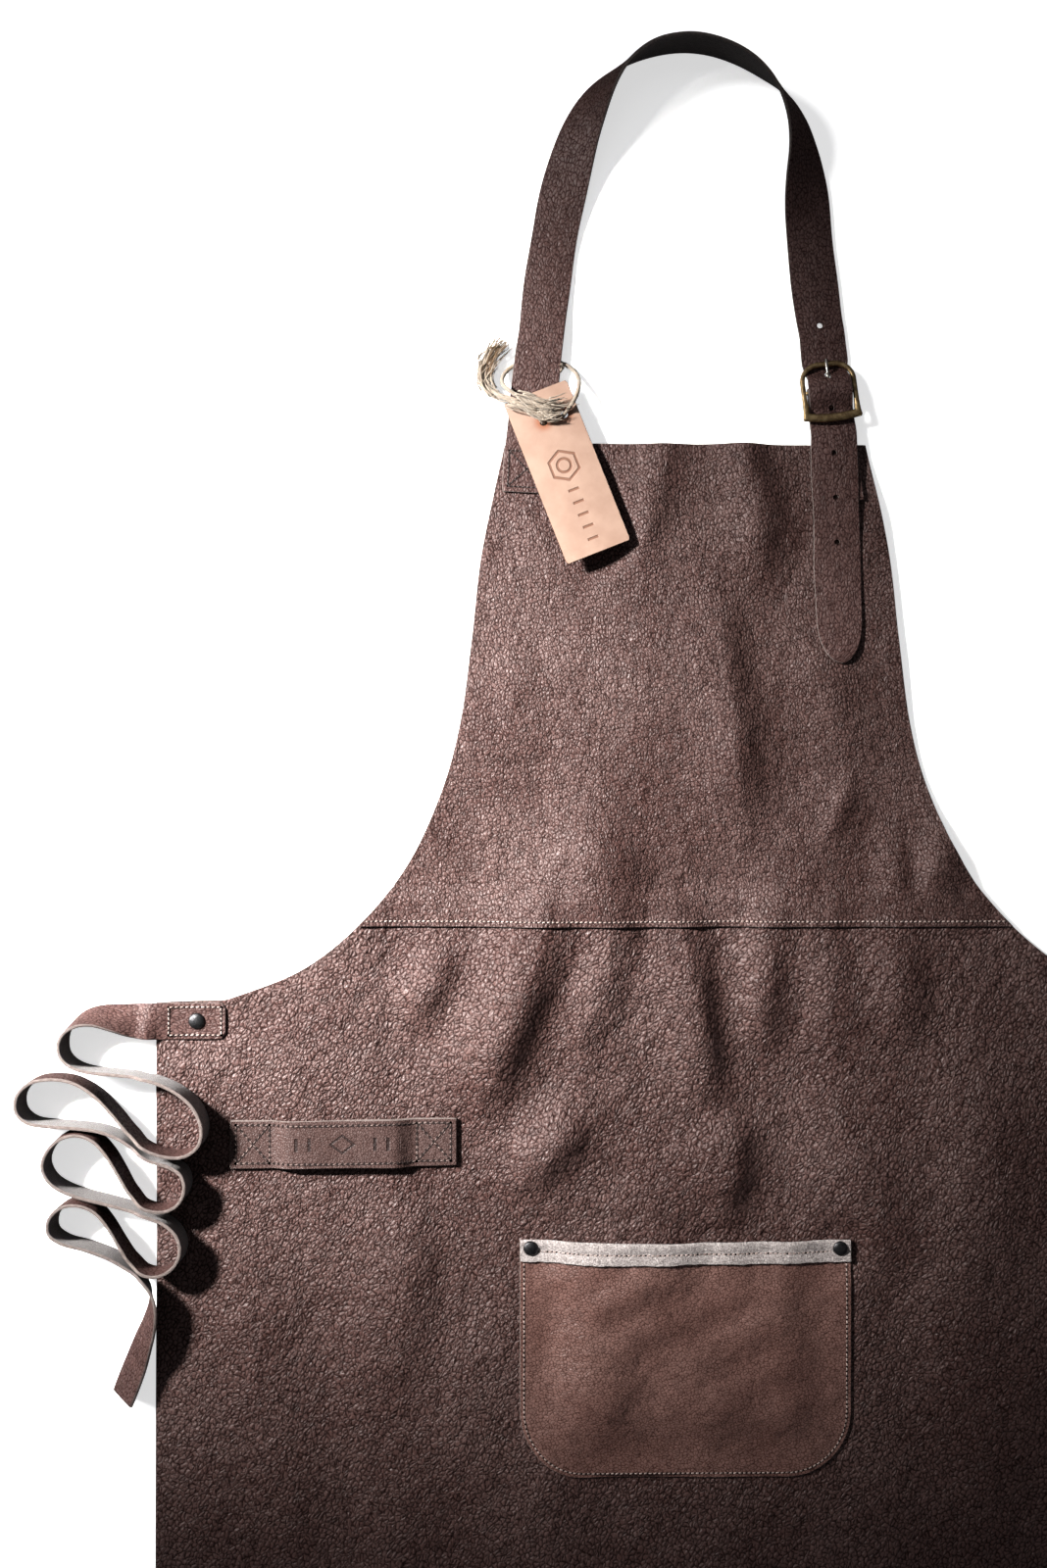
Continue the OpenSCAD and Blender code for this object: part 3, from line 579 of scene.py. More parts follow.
def tag_look(holes):
    """Natural vegetable-tanned leather, with painted shade darkening it round its punched
    holes. The mark is a ring in a hexagon over five short bars, pressed in and burnished."""
    look = Look("tag_grain")
    part = look.node("ShaderNodeSeparateXYZ", {"Vector": look.uv})
    px, py = part.outputs[0], part.outputs[1]

    def away(x, y):
        dx = look.math("SUBTRACT", px, x * MM)
        dy = look.math("SUBTRACT", py, y * MM)
        return look.math("SQRT", look.math("MULTIPLY_ADD", dx, dx,
                                           look.math("MULTIPLY", dy, dy)))
    mottle = look.noise(1000 / 16.0, 4.0, 0.6)
    pores = look.noise(1000 / 0.5, 3.0, 0.6)
    scuff = look.noise(1000 / 5.0, 5.0, 0.7, look.stretched(1.0, 0.35))
    tone = look.mix(look.span(mottle, 0.3, 0.7), (0.33, 0.205, 0.15), (0.39, 0.255, 0.19))
    tone = look.mix(look.span(scuff, 0.6, 0.8, 0.0, 0.5), tone, (0.28, 0.16, 0.11))
    # Painted shade: the colour darkens towards a deep orange round each punched hole.
    for x, y in holes:
        near = look.span(away(x, y), 2.2 * MM, 8.0 * MM, 0.8, 0.0)
        tone = look.mix(near, tone, (0.26, 0.07, 0.02))
    ring = look.math("ABSOLUTE", look.math("SUBTRACT", away(0, 4), 4.2 * MM))
    lines = [ring]
    dy = look.math("SUBTRACT", py, 4 * MM)
    sides = [look.math("ABSOLUTE", px)]
    for turn in (60, 120):
        c, s = math.cos(math.radians(turn)), math.sin(math.radians(turn))
        sides.append(look.math("ABSOLUTE", look.math("MULTIPLY_ADD", px, c,
                                                     look.math("MULTIPLY", dy, s))))
    hexagon = look.math("MAXIMUM", sides[0], look.math("MAXIMUM", sides[1], sides[2]))
    lines.append(look.math("ABSOLUTE", look.math("SUBTRACT", hexagon, 8.2 * MM)))
    for y in (-12, -20, -28, -36, -44):
        off = look.math("SUBTRACT", look.math("ABSOLUTE", px), 2.6 * MM)
        end = look.math("ABSOLUTE", look.math("SUBTRACT", py, y * MM))
        lines.append(look.math("MAXIMUM", off, end))
    nearest = lines[0]
    for line in lines[1:]:
        nearest = look.math("MINIMUM", nearest, line)
    pressed = look.span(nearest, 0.5 * MM, 1.0 * MM, 1.0, 0.0)
    tone = look.mix(look.math("MULTIPLY", pressed, 0.85), tone, (0.16, 0.065, 0.035))
    high = look.math("MULTIPLY_ADD", pressed, -3.0, look.math("ADD", pores, mottle))
    look.set(Base_Color=tone, Roughness=look.span(scuff, 0.3, 0.7, 0.42, 0.6),
             Specular_IOR_Level=0.45)
    look.bump(high, 0.12 * MM)
    return look.mat


def loop_mark(look, colour, high):
    """A plain lozenge between rows of short bars, pressed into the towel loop."""
    part = look.node("ShaderNodeSeparateXYZ", {"Vector": look.uv})
    px = look.math("ABSOLUTE", look.math("ADD", part.outputs[0], 210 * MM))
    py = look.math("ABSOLUTE", look.math("SUBTRACT", part.outputs[1], 427 * MM))
    lozenge = look.math("ABSOLUTE", look.math("SUBTRACT", look.math(
        "MULTIPLY_ADD", py, 1.3, px), 7 * MM))
    step = look.math("ABSOLUTE", look.math("SUBTRACT", look.math("PINGPONG", px, 4 * MM),
                                           4 * MM))
    inside = look.math("ABSOLUTE", look.math("SUBTRACT", px, 24 * MM))
    rule = look.math("MAXIMUM", look.math("MAXIMUM", step, look.math(
        "SUBTRACT", py, 3 * MM)), look.math("SUBTRACT", inside, 10 * MM))
    pressed = look.span(look.math("MINIMUM", lozenge, rule), 0.6 * MM, 1.3 * MM, 1.0, 0.0)
    colour = look.mix(look.math("MULTIPLY", pressed, 0.8), colour, (0.018, 0.011, 0.010))
    return colour, look.math("MULTIPLY_ADD", pressed, -1.6, high)


def twine_look(name, colours):
    """Soft fibres that run along the twine, in two shades with blots of a third."""
    look = Look(name)
    along = look.noise(1000 / 1.2, 4.0, 0.7, look.stretched(0.3, 3.0))
    blot = look.noise(1000 / 9.0, 2.0)
    tone = look.mix(look.span(along, 0.3, 0.7), colours[0], colours[1])
    tone = look.mix(look.span(blot, 0.5, 0.72, 0.0, 0.7), tone, colours[2])
    look.set(Base_Color=tone, Roughness=0.85, Specular_IOR_Level=0.2, Sheen_Weight=0.3)
    look.bump(along, 0.3 * MM)
    return look.mat


def floor_look():
    """A white table that throws little light back up at the apron."""
    look = Look("floor")
    seen = look.node("ShaderNodeLightPath").outputs["Is Camera Ray"]
    tone = look.mix(look.noise(3.0, 2.0), (0.86, 0.86, 0.86), (0.9, 0.9, 0.9))
    look.set(Base_Color=look.mix(seen, (0.08, 0.08, 0.08), tone), Roughness=0.9,
             Specular_IOR_Level=0.1, Emission_Color=(1.0, 1.0, 1.0, 1.0),
             Emission_Strength=look.math("MULTIPLY", seen, 0.62))
    return look.mat


# Each leather's darkest colour, painted as shade in its grooves and also used for its dark
# flecks, then its ground and its paler patches
BROWN = ((0.010, 0.004, 0.003), (0.088, 0.041, 0.035), (0.125, 0.068, 0.060))
STRAP_BROWN = ((0.024, 0.011, 0.010), (0.084, 0.041, 0.035), (0.116, 0.062, 0.055))
LOOP_BROWN = ((0.026, 0.012, 0.010), (0.080, 0.044, 0.038), (0.110, 0.065, 0.058))
# The pocket's leather is paler than the rest, and its colours are raised further as painted
# light, to make up for the lamp's light falling off there.
POCKET_BROWN_AND_PAINTED_LIGHT = ((0.045, 0.020, 0.016), (0.185, 0.091, 0.074), (0.230, 0.123, 0.102))
LOOKS = {
    "skirt": grain("skirt_grain", 2.4, BROWN, 1.1, turn=60, long_cells=1.4),
    "bib": grain("bib_grain", 2.0, BROWN, 0.8, turn=100, long_cells=1.35),
    "strap": grain("strap_grain", 2.0, STRAP_BROWN, 0.55, turn=90, wrinkle=0.15, spec=0.4),
    "pocket": grain("pocket_grain", 1.8, POCKET_BROWN_AND_PAINTED_LIGHT, 0.3, turn=20, long_cells=1.2,
                    wrinkle=0.9),
    "loop": grain("loop_grain", 1.5, LOOP_BROWN, 0.3, turn=90, long_cells=1.2,
                  wrinkle=0.3, extra=loop_mark),
    "flesh": suede("flesh_side", (0.19, 0.155, 0.145), (0.055, 0.041, 0.038)),
    "hem": suede("hem_flesh", (0.92, 0.83, 0.80), (0.20, 0.165, 0.155), 0.9, 1.7),
    "edge": cut_edge("cut_edge", (0.25, 0.205, 0.19), (0.09, 0.068, 0.06)),
    "tag_flesh": suede("tag_flesh", (0.32, 0.22, 0.16), (0.2, 0.13, 0.09)),
    "tag_edge": cut_edge("tag_edge", (0.33, 0.21, 0.15), (0.2, 0.12, 0.08)),
    "pale": thread("pale_thread", (0.62, 0.49, 0.44), (0.34, 0.25, 0.22)),
    "dark": thread("dark_thread", (0.10, 0.07, 0.062), (0.03, 0.02, 0.018)),
    "hole": needle_hole_shade_look(),
    "rivet": metal("gunmetal", (0.09, 0.088, 0.09), (0.35, 0.34, 0.34), (0.03, 0.03, 0.032),
                   0.34),
    "brass": metal("antique_brass", (0.50, 0.36, 0.18), (0.80, 0.64, 0.40),
                   (0.20, 0.13, 0.065), 0.34),
    "nickel": metal("nickel", (0.62, 0.60, 0.56), (0.85, 0.83, 0.78), (0.3, 0.28, 0.25), 0.22),
    "twine": twine_look("twine_fibre", ((0.24, 0.175, 0.12), (0.42, 0.37, 0.31),
                                        (0.28, 0.19, 0.12))),
    "tan": twine_look("tan_fibre", ((0.13, 0.075, 0.036), (0.24, 0.155, 0.09),
                                    (0.34, 0.28, 0.21))),
    "loop_thread": thread("loop_thread", (0.24, 0.17, 0.15), (0.07, 0.045, 0.04)),
}


def hide(kind):
    """Grain side, flesh side and cut edge, as the slots of a leather sheet."""
    return [LOOKS[kind], LOOKS["flesh"], LOOKS["edge"]]


# ---- camera and light

CAMERA_AT, LENS, SENSOR = (-0.0995, 0.0971, 1.1), 40.9, 36
# The lamp hangs low on the left and aims beside the bib, so that its edge fades to the right
LAMP, LAMP_AIM, LAMP_CONE = (-1.45, 0.72, 1.08), (-0.47, 0.20, 0), math.radians(31)
KEY_POWER, SUN_POWER, FILL_POWER = 880, 2.6, 1.6
WORLD_GLOW, WORLD_SEEN = (0.08, 0.08, 0.084, 1), (0.85, 0.85, 0.86, 1)
FLOOR_HALF, FLOOR_Z = 6.0, -0.0003


def make_camera():
    data = bpy.data.cameras.new("camera")
    data.sensor_width = SENSOR
    data.lens = LENS
    camera = bpy.data.objects.new("camera", data)
    camera.location = CAMERA_AT
    bpy.context.scene.collection.objects.link(camera)
    bpy.context.scene.camera = camera


def aimed(data, place, target):
    """A light at a place, turned to a target."""
    light = bpy.data.objects.new(data.name, data)
    way = np.array(target) - np.array(place)
    light.location = place
    light.rotation_euler = (math.atan2(math.hypot(way[0], way[1]), -way[2]), 0,
                            math.atan2(way[1], way[0]) - math.pi / 2)
    bpy.context.scene.collection.objects.link(light)
    return light


def make_lights(floor):
    """One lamp for the apron, a sun from the same side for the floor only, and a weak fill."""
    key = bpy.data.lights.new("key", "SPOT")
    key.energy, key.color = KEY_POWER, (1.0, 0.985, 0.965)
    key.spot_size, key.spot_blend = LAMP_CONE, 0.8
    key.shadow_soft_size = 0.14
    aimed(key, LAMP, LAMP_AIM)
    sun = bpy.data.lights.new("floor_sun", "SUN")
    sun.energy, sun.angle = SUN_POWER, math.radians(8)
    lit = bpy.data.collections.new("lit_by_floor_sun")
    lit.objects.link(floor)
    aimed(sun, LAMP, (0, 0, 0)).light_linking.receiver_collection = lit
    fill = bpy.data.lights.new("fill", "AREA")
    fill.energy, fill.color, fill.size = FILL_POWER, (0.95, 0.97, 1.0), 1.2
    aimed(fill, (-0.2, 1.6, 1.6), (0.0, 0.1, 0))


def make_world():
    """A pale backdrop to the camera that throws only a little light."""
    world = bpy.data.worlds.new("studio")
    world.use_nodes = True
    tree = world.node_tree
    background = tree.nodes["Background"]
    background.inputs["Strength"].default_value = 1.0
    path = tree.nodes.new("ShaderNodeLightPath")
    seen = tree.nodes.new("ShaderNodeMix")
    seen.data_type = "RGBA"
    glow, shown = [socket for socket in seen.inputs if socket.type == "RGBA"]
    glow.default_value, shown.default_value = WORLD_GLOW, WORLD_SEEN
    tree.links.new(path.outputs["Is Camera Ray"], seen.inputs[0])
    tree.links.new(next(socket for socket in seen.outputs if socket.type == "RGBA"),
                   background.inputs["Color"])
    bpy.context.scene.world = world
    bpy.context.scene.view_settings.view_transform = "Standard"


def make_floor():
    mesh = bpy.data.meshes.new("floor")
    corners = [(-1, -1), (1, -1), (1, 1), (-1, 1)]
    mesh.from_pydata([(x * FLOOR_HALF, y * FLOOR_HALF, FLOOR_Z) for x, y in corners],
                     [], [(0, 1, 2, 3)])
    layer = mesh.uv_layers.new(name="hide")
    layer.data.foreach_set("uv", [(side + 1) * FLOOR_HALF for c in corners for side in c])
    floor = bpy.data.objects.new("floor", mesh)
    mesh.materials.append(floor_look())
    bpy.context.scene.collection.objects.link(floor)
    return floor


make_camera()


# ---- swing tag and twine

TAG_AT = np.array([-73, SEAM_V + 278.0, 8.4])
TAG_TURN, TAG_TIP, TAG_HOLE_Q = math.radians(21.5), math.radians(-3.2), 33.7
TAG_HOLES = [(-2.1, TAG_HOLE_Q), (11.5, TAG_HOLE_Q)]
TAG_W, TAG_L, TAG_T = 41, 106, 2

# The twine, as the CAD model lays it: across, above the seam and height
TWINE_D = 2.8
TWINE = [(-118, 353, 1.6), (-122.5, 346, 1.6), (-123.5, 338, 1.8), (-120.5, 330.5, 4.2),
         (-114.5, 325, 11), (-109.5, 322, 13.4), (-104, 319.2, 13.6), (-98, 316, 13.2),
         (-91.5, 312, 12.7), (-88.4, 309.4, 11.7), (-87.4, 308.6, 9.4), (-86.6, 308.8, 7.2),
         (-82.5, 310.4, 6.2), (-78, 312.3, 6.3), (-75.3, 313.2, 7.5), (-74.6, 313.6, 9.6),
         (-73.9, 314.3, 11.7), (-71, 317.8, 13.2), (-67.8, 323.4, 12.8), (-66, 329, 10.4),
         (-65.4, 334.5, 5.6), (-67, 340, 2.4), (-71, 344.2, 1.5), (-76.5, 347, 1.45),
         (-86, 349, 1.45), (-97, 348.5, 1.45), (-106, 345, 1.5), (-111.5, 339.5, 3),
         (-112.5, 333.5, 7.4), (-108.5, 327.8, 12.6), (-101, 323, 13.8), (-92, 319, 13.2),
         (-84, 317.5, 12.7)]


def fibres(spine, count, spread, reach, radius):
    """Loose fibres that follow a line and stray from it, more and more towards its end."""
    made = []
    spine = np.asarray(spine, float)
    for _ in range(count):
        begin = rng.uniform(0.0, 0.75)
        share = np.linspace(begin, min(1.0, begin + rng.uniform(0.25, reach)), 9)
        at = share * (len(spine) - 1)
        line = np.stack([np.interp(at, np.arange(len(spine)), spine[:, k])
                         for k in range(3)], 1)
        stray = np.array([rng.gauss(0, 1), rng.gauss(0, 1), abs(rng.gauss(0, 0.6))])
        curl = np.array([rng.gauss(0, 1), rng.gauss(0, 1), rng.gauss(0, 0.4)])
        grow = spread[0] + (spread[1] - spread[0]) * share[:, None]
        line = line + stray * grow + curl * grow * 0.5 * np.sin(share * 9 + stray[0])[:, None]
        line[:, 2] = np.maximum(line[:, 2], 0.3)
        width = radius * rng.uniform(0.6, 1.2) * (1 - 0.7 * np.linspace(0, 1, 9) ** 2)
        made.append(tube(line, width, 5))
    return made


# The tufts of the twine's frayed end: a line, how many fibres, how far they stray at its start
# and end, the longest share of the line that one follows, and their radius
TUFT = [(-113, 324, 8), (-118, 327, 6), (-122.5, 333, 3.6), (-123.5, 341, 2.6),
        (-120.5, 349, 2.4), (-114.5, 357, 2.6)]
OVER = [(-116, 325, 7), (-108, 321, 12.6), (-99, 318, 14.4), (-91, 314.5, 14.2),
        (-84, 312, 13.6), (-77, 313, 12.8)]
LOOSE = [(-104, 325, 14), (-96, 322, 15), (-88, 319, 14.8), (-81, 318, 13.8), (-74, 320, 12.6)]
TAN = [(-123, 337, 3.4), (-121.5, 345, 3), (-117, 353, 3), (-111, 360, 3)]
PALE_TUFTS = ((TUFT, 120, (1.2, 2.8), 0.6, 0.50), (OVER, 60, (1.7, 2.4), 0.7, 0.60),
              (LOOSE, 60, (1.4, 3.0), 0.7, 0.55))
TAN_TUFTS = ((TAN, 80, (1.4, 2.8), 0.6, 0.34),)


def make_fray(name, material, tufts):
    parts = []
    for spine, count, spread, reach, radius in tufts:
        spine = smooth_path([(x, SEAM_V + up, z) for x, up, z in spine], 5)
        parts += fibres(spine, count, spread, reach, radius)
    return solid(name, parts, LOOKS[material], "tag")


def make_knot():
    t = np.linspace(0, 2 * math.pi, 49)
    line = np.stack([np.sin(t) + 2 * np.sin(2 * t), np.cos(t) - 2 * np.cos(2 * t),
                     -np.sin(3 * t)], 1) * 0.85
    line += np.array([-77.5, SEAM_V + 343.5, 3.6])
    return solid("twine_knot", [tube(line, 1.0, 10, lobes=3, turns=0.8, depth=0.25)],
                 LOOKS["twine"], "tag")


def make_twine():
    line = smooth_path([(x, SEAM_V + up, z) for x, up, z in TWINE], 6)
    twine = solid("twine", [tube(line, TWINE_D / 2, 15, lobes=3, turns=0.62, depth=0.3)],
                  LOOKS["twine"], "tag")
    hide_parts("tag_cord")
    fray = make_fray("twine_fray", "twine", PALE_TUFTS)
    ends = make_fray("twine_fray_tan", "tan", TAN_TUFTS)
    knot = make_knot()


def on_tag(points):
    """From the tag's own plane to the apron: across, along and up become x, v and z."""
    p = np.asarray(points, float)
    along, up = p[..., 1] - TAG_HOLE_Q, p[..., 2]
    y = TAG_HOLE_Q + along * math.cos(TAG_TIP) - up * math.sin(TAG_TIP)
    z = along * math.sin(TAG_TIP) + up * math.cos(TAG_TIP)
    c, s = math.cos(TAG_TURN), math.sin(TAG_TURN)
    return np.stack([TAG_AT[0] + p[..., 0] * c - y * s, TAG_AT[1] + p[..., 0] * s + y * c,
                     TAG_AT[2] + z], -1)


def drill(piece, spots, radius, edge_kind):
    """Punches round holes straight down through a piece, at (x, v) places."""
    low, high, sides = -2, 40, 28
    for x, v in spots:
        turn = np.arange(sides) * 2 * math.pi / sides
        ring = np.stack([x + radius * np.cos(turn), v + radius * np.sin(turn)], 1)
        verts = np.vstack([np.c_[ring, np.full(sides, low)], np.c_[ring, np.full(sides, high)]])
        verts = verts * MM
        verts[:, 1] += HEM_Y * MM
        faces = [list(range(sides))[::-1], list(range(sides, 2 * sides))]
        faces += [[k, (k + 1) % sides, sides + (k + 1) % sides, sides + k]
                  for k in range(sides)]
        mesh = bpy.data.meshes.new("punch")
        mesh.from_pydata(verts.tolist(), [], faces)
        mesh.uv_layers.new(name="hide")
        for m in piece.data.materials:
            mesh.materials.append(m)
        for f in mesh.polygons:
            f.material_index = edge_kind
        punch = bpy.data.objects.new("punch", mesh)
        bpy.context.scene.collection.objects.link(punch)
        cut = piece.modifiers.new("punch", "BOOLEAN")
        cut.operation, cut.object, cut.solver = "DIFFERENCE", punch, "EXACT"
        bpy.context.view_layer.update()
        made = bpy.data.meshes.new_from_object(
            piece.evaluated_get(bpy.context.evaluated_depsgraph_get()))
        piece.modifiers.clear()
        piece.data = made
        bpy.data.objects.remove(punch)


def make_tag():
    p, q = np.meshgrid(places(-TAG_W / 2, TAG_W / 2, 1.6), places(-TAG_L / 2, TAG_L / 2, 1.6))
    corner = np.clip(np.abs(q) - (TAG_L / 2 - 1.5), 0, None)
    p = p * (1 - corner * corner / 2.2 * 0.04)
    bow = 0.5 * (1 - (2 * p / TAG_W) ** 2) + 0.35 * np.sin(q * 0.05 + 1)
    top = on_tag(np.stack([p, q, TAG_T + bow - 0.4], -1))
    tag = slab("tag_leather", top, np.stack([p, q], -1), TAG_T, [
        tag_look(TAG_HOLES), LOOKS["tag_flesh"], LOOKS["tag_edge"]], None, 0.25)
    spots = [on_tag([x, y, 0])[:2] for x, y in TAG_HOLES]
    drill(tag, spots, 2.3, 2)
    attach(tag, "tag")
    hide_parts("hang_tag")


make_twine()
make_tag()


# ---- panels

def outline_half(v):
    """Half the apron's width at a height."""
    return np.interp(v, SIDE[::-1, 1], SIDE[::-1, 0])


def outline_top(x):
    """The skirt's upper edge."""
    return np.minimum(np.interp(np.abs(x), SIDE[:, 0], SIDE[:, 1]), LAP_V)


def bib_lift(v):
    """The bib's lower edge laps over the skirt, then comes down to the table."""
    return (PANEL_T + 0.3) * (1 - ease((v - LAP_V - 2) / 13))


def skirt_top(x, v):
    return PANEL_T + swell(x, v)


def bib_top(x, v):
    pucker = 0.14 * np.sin(x * 0.9 + 2 * np.sin(x * 0.13)) * np.exp(-((v - SEAM_V) / 9) ** 2)
    return PANEL_T + bib_lift(v) + swell(x, v) + pucker


def make_skirt():
    kink = outline_half(LAP_V)
    half = SKIRT_W / 2
    x = np.concatenate([places(-half, -kink, 4)[:-1], places(-kink, kink, 4),
                        places(kink, half, 4)[1:]])
    xx, ss = np.meshgrid(x, places(0, 1, 1 / 144))
    vv = outline_top(xx) * ss
    top = np.stack([xx, vv, skirt_top(xx, vv)], -1)
    low = top - np.array([0, 0, PANEL_T - 0.15])
    skirt = slab("skirt_leather", top, top[..., :2], PANEL_T - 0.15, hide("skirt"), "skirt",
                 bottom=low)
    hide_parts("skirt_panel")


def make_bib():
    v = places(SEAM_V, TOP_V, 3.2)
    ss, vv = np.meshgrid(places(-1, 1, 2 / 116), v)
    xx = ss * outline_half(vv)
    top = np.stack([xx, vv, bib_top(xx, vv)], -1)
    low = top - np.array([0, 0, PANEL_T - 0.1])
    bib = slab("bib_leather", top, top[..., :2], PANEL_T - 0.1, hide("bib"), None,
               bottom=low)
    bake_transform(bib)
    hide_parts("bib_panel")


def make_seam():
    x = places(-197, 197, 1.5)
    v = np.full(len(x), SEAM_V + 3.0)
    sew("seam_stitches", "seam_thread", [np.stack([x, v, bib_top(x, v)], 1)], "pale",
        "skirt", "pale_thread")


# ---- pocket

POCKET_V, POCKET_H, POCKET_R = 222, 145, 40
POCKET_HALF = (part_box("pocket_panel")[1].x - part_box("pocket_panel")[0].x) / MM / 2
# Width of its sewn flat border and of the rise inside it, room inside, thickness and hem
POCKET_FLAT, POCKET_RISE, POCKET_ROOM, POCKET_T, HEM_BAND = 13, 32, 5.6, 1.9, 13
# Height of the hem band above the pocket's inner face, and of the row of stitches in it
HEM_HIGH, HEM_ROW = 4.0, 7.0
MOUTH_V = POCKET_V + POCKET_H


def pocket_half(v):
    """Half the pocket's width at a height, with its lower corners rounded."""
    d = np.clip(POCKET_V + POCKET_R - v, 0, POCKET_R)
    return POCKET_HALF - POCKET_R + np.sqrt(POCKET_R ** 2 - d ** 2)


def pocket_inner(x, v):
    """Height of the pocket's inner face: sewn flat at its border, standing off inside it."""
    side = pocket_half(v) - np.abs(x)
    puff = ease((side - POCKET_FLAT) / POCKET_RISE) * ease(
        (v - POCKET_V - POCKET_FLAT) / POCKET_RISE)
    crease = (0.8 * np.sin(0.055 * x + 0.09 * v + 1.5 * np.sin(0.03 * x - 0.02 * v))
              + 0.45 * np.sin(0.14 * x - 0.11 * v + 2.2 * np.sin(0.05 * v + 0.02 * x))
              + 0.3 * np.sin(0.21 * v + 1.8 * np.sin(0.09 * x)))
    return PANEL_T + swell(x, v) + puff * (POCKET_ROOM + crease)


def make_hem():
    """The hem: a flesh-side band folded over the pocket's mouth, pinched by its stitches."""
    x = places(-POCKET_HALF, POCKET_HALF, 2.0)
    arc = np.radians(places(90, -90, 30))
    band = np.concatenate([places(MOUTH_V - HEM_BAND, MOUTH_V - 2, 1.6)[:-1],
                           MOUTH_V - 2 + 2 * np.cos(arc)])
    rise = np.concatenate([np.full(len(band) - len(arc), HEM_HIGH), 2 + 2 * np.sin(arc)])
    xx, vv = np.meshgrid(x, band)
    height = np.repeat(rise[:, None], len(x), 1)
    ragged = np.array([rng.uniform(-0.35, 0.35) for _ in x])
    vv[0] += np.convolve(ragged, [0.25, 0.5, 0.25], "same")
    pinch = 0.95 * np.exp(-((vv - (MOUTH_V - HEM_ROW)) / 1.3) ** 2)
    lump = 0.34 * np.sin(xx * 0.8 + 1.7 * np.sin(vv * 0.9)) * np.sin(xx * 0.23)
    z = pocket_inner(xx, np.minimum(vv, MOUTH_V)) + height + np.where(
        height > HEM_HIGH - 0.1, lump - pinch, 0)
    return slab("pocket_hem", np.stack([xx, vv, z], -1), np.stack([xx, vv], -1), 1.85,
                [LOOKS["hem"], LOOKS["pocket"], LOOKS["edge"]], "skirt",
                bulge=0.35)


def make_pocket():
    arc = np.radians(places(90, 0, 6))
    v = np.concatenate([POCKET_V + POCKET_R * (1 - np.sin(arc)),
                        places(POCKET_V + POCKET_R, MOUTH_V - 2.2, 2.4)[1:]])
    ss, vv = np.meshgrid(places(-1, 1, 2 / 84), v)
    xx = ss * pocket_half(vv)
    top = np.stack([xx, vv, pocket_inner(xx, vv) + POCKET_T], -1)
    pocket = slab("pocket_leather", top, top[..., :2], POCKET_T, hide("pocket"), "skirt")
    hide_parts("pocket_panel")
    make_hem()


def make_pocket_sewing():
    inset = 2.4
    r = POCKET_R - inset
    left = [(-POCKET_HALF + inset, v) for v in places(MOUTH_V - HEM_BAND - 1,
                                                      POCKET_V + POCKET_R, 3)]
    left += [(-POCKET_HALF + POCKET_R + r * math.cos(t), POCKET_V + POCKET_R
              + r * math.sin(t)) for t in np.radians(places(180, 270, 5))]
    plan = np.array(left + [(-a, b) for a, b in left[::-1]])
    z = pocket_inner(plan[:, 0], plan[:, 1]) + POCKET_T
    sew("pocket_stitches", "pocket_thread", [np.c_[plan, z]], "pale", "skirt", "pale_thread")
    x = places(-POCKET_HALF + 11, POCKET_HALF - 11, 2)
    v = np.full(len(x), MOUTH_V - HEM_ROW)
    z = pocket_inner(x, v) + HEM_HIGH - 0.85
    sew("hem_stitches", "pocket_hem_thread", [np.stack([x, v, z], 1)], "pale", "skirt",
        "pale_thread")


# ---- towel loop

LOOP_X, LOOP_V = -210, 427
LOOP_W, LOOP_H, LOOP_T = 138, 28.5, 1.5
# Length of each sewn end and of the rise beside it, room under it, and its slant
LOOP_END, LOOP_SLOPE, LOOP_ROOM, LOOP_SLANT = 24, 14, 5, 0.009


def loop_height(x, v, layer):
    """Height of the top of a layer of the towel loop, counted from the skirt."""
    arch = LOOP_ROOM * ease((LOOP_W / 2 - LOOP_END - np.abs(x - LOOP_X)) / LOOP_SLOPE)
    return PANEL_T + swell(x, v) + arch + layer * LOOP_T


def make_loop():
    x = LOOP_X + places(-LOOP_W / 2, LOOP_W / 2, 1.8)
    v = LOOP_V + places(-LOOP_H / 2, LOOP_H / 2, 2.0)
    xx, vv = np.meshgrid(x, v)
    for name, layer, node, kind in (("towel_loop_under", 1, "towel_loop_back", "strap"),
                                    ("towel_loop_strip", 2, "towel_loop_front", "loop")):
        wave = 0.35 * np.sin((xx - LOOP_X) * 0.06 + layer)
        slant = (xx - LOOP_X) * LOOP_SLANT
        top = np.stack([xx, vv + wave + slant, loop_height(xx, vv, layer)], -1)
        piece = slab(name, top, np.stack([xx, vv], -1), LOOP_T - 0.08, hide(kind), "skirt",
                     bulge=0.4)
        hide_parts(node)


def make_loop_sewing():
    """A box with a cross at each end of the loop and a row along each edge between."""
    low, high = LOOP_V - LOOP_H / 2 + 2.6, LOOP_V + LOOP_H / 2 - 2.6
    runs = []
    for s in (-1, 1):
        inner, outer = LOOP_X + s * (LOOP_W / 2 - LOOP_END), LOOP_X + s * (LOOP_W / 2 - 3.2)
        corners = [(inner, low), (outer, low), (outer, high), (inner, high), (inner, low)]
        runs += list(zip(corners, corners[1:]))
        runs += [((inner + s * 1.2, low + 1.2), (outer - s * 1.2, high - 1.2)),
                 ((inner + s * 1.2, high - 1.2), (outer - s * 1.2, low + 1.2))]
    for v in (low, high):
        runs.append(((LOOP_X - LOOP_W / 2 + LOOP_END, v), (LOOP_X + LOOP_W / 2 - LOOP_END, v)))
    lines = []
    for a, b in runs:
        x, v = between(a, b)
        lines.append(np.stack([x, v + (x - LOOP_X) * LOOP_SLANT, loop_height(x, v, 2)], 1))
    sew("loop_stitches", "towel_loop_thread", lines, "loop_thread", "skirt", "pale_thread",
        pitch=3.3, width=0.36, hole=1.05)


# ---- straps

STRAP_T = 2.0
NECK_W, WAIST_W = 28, 22


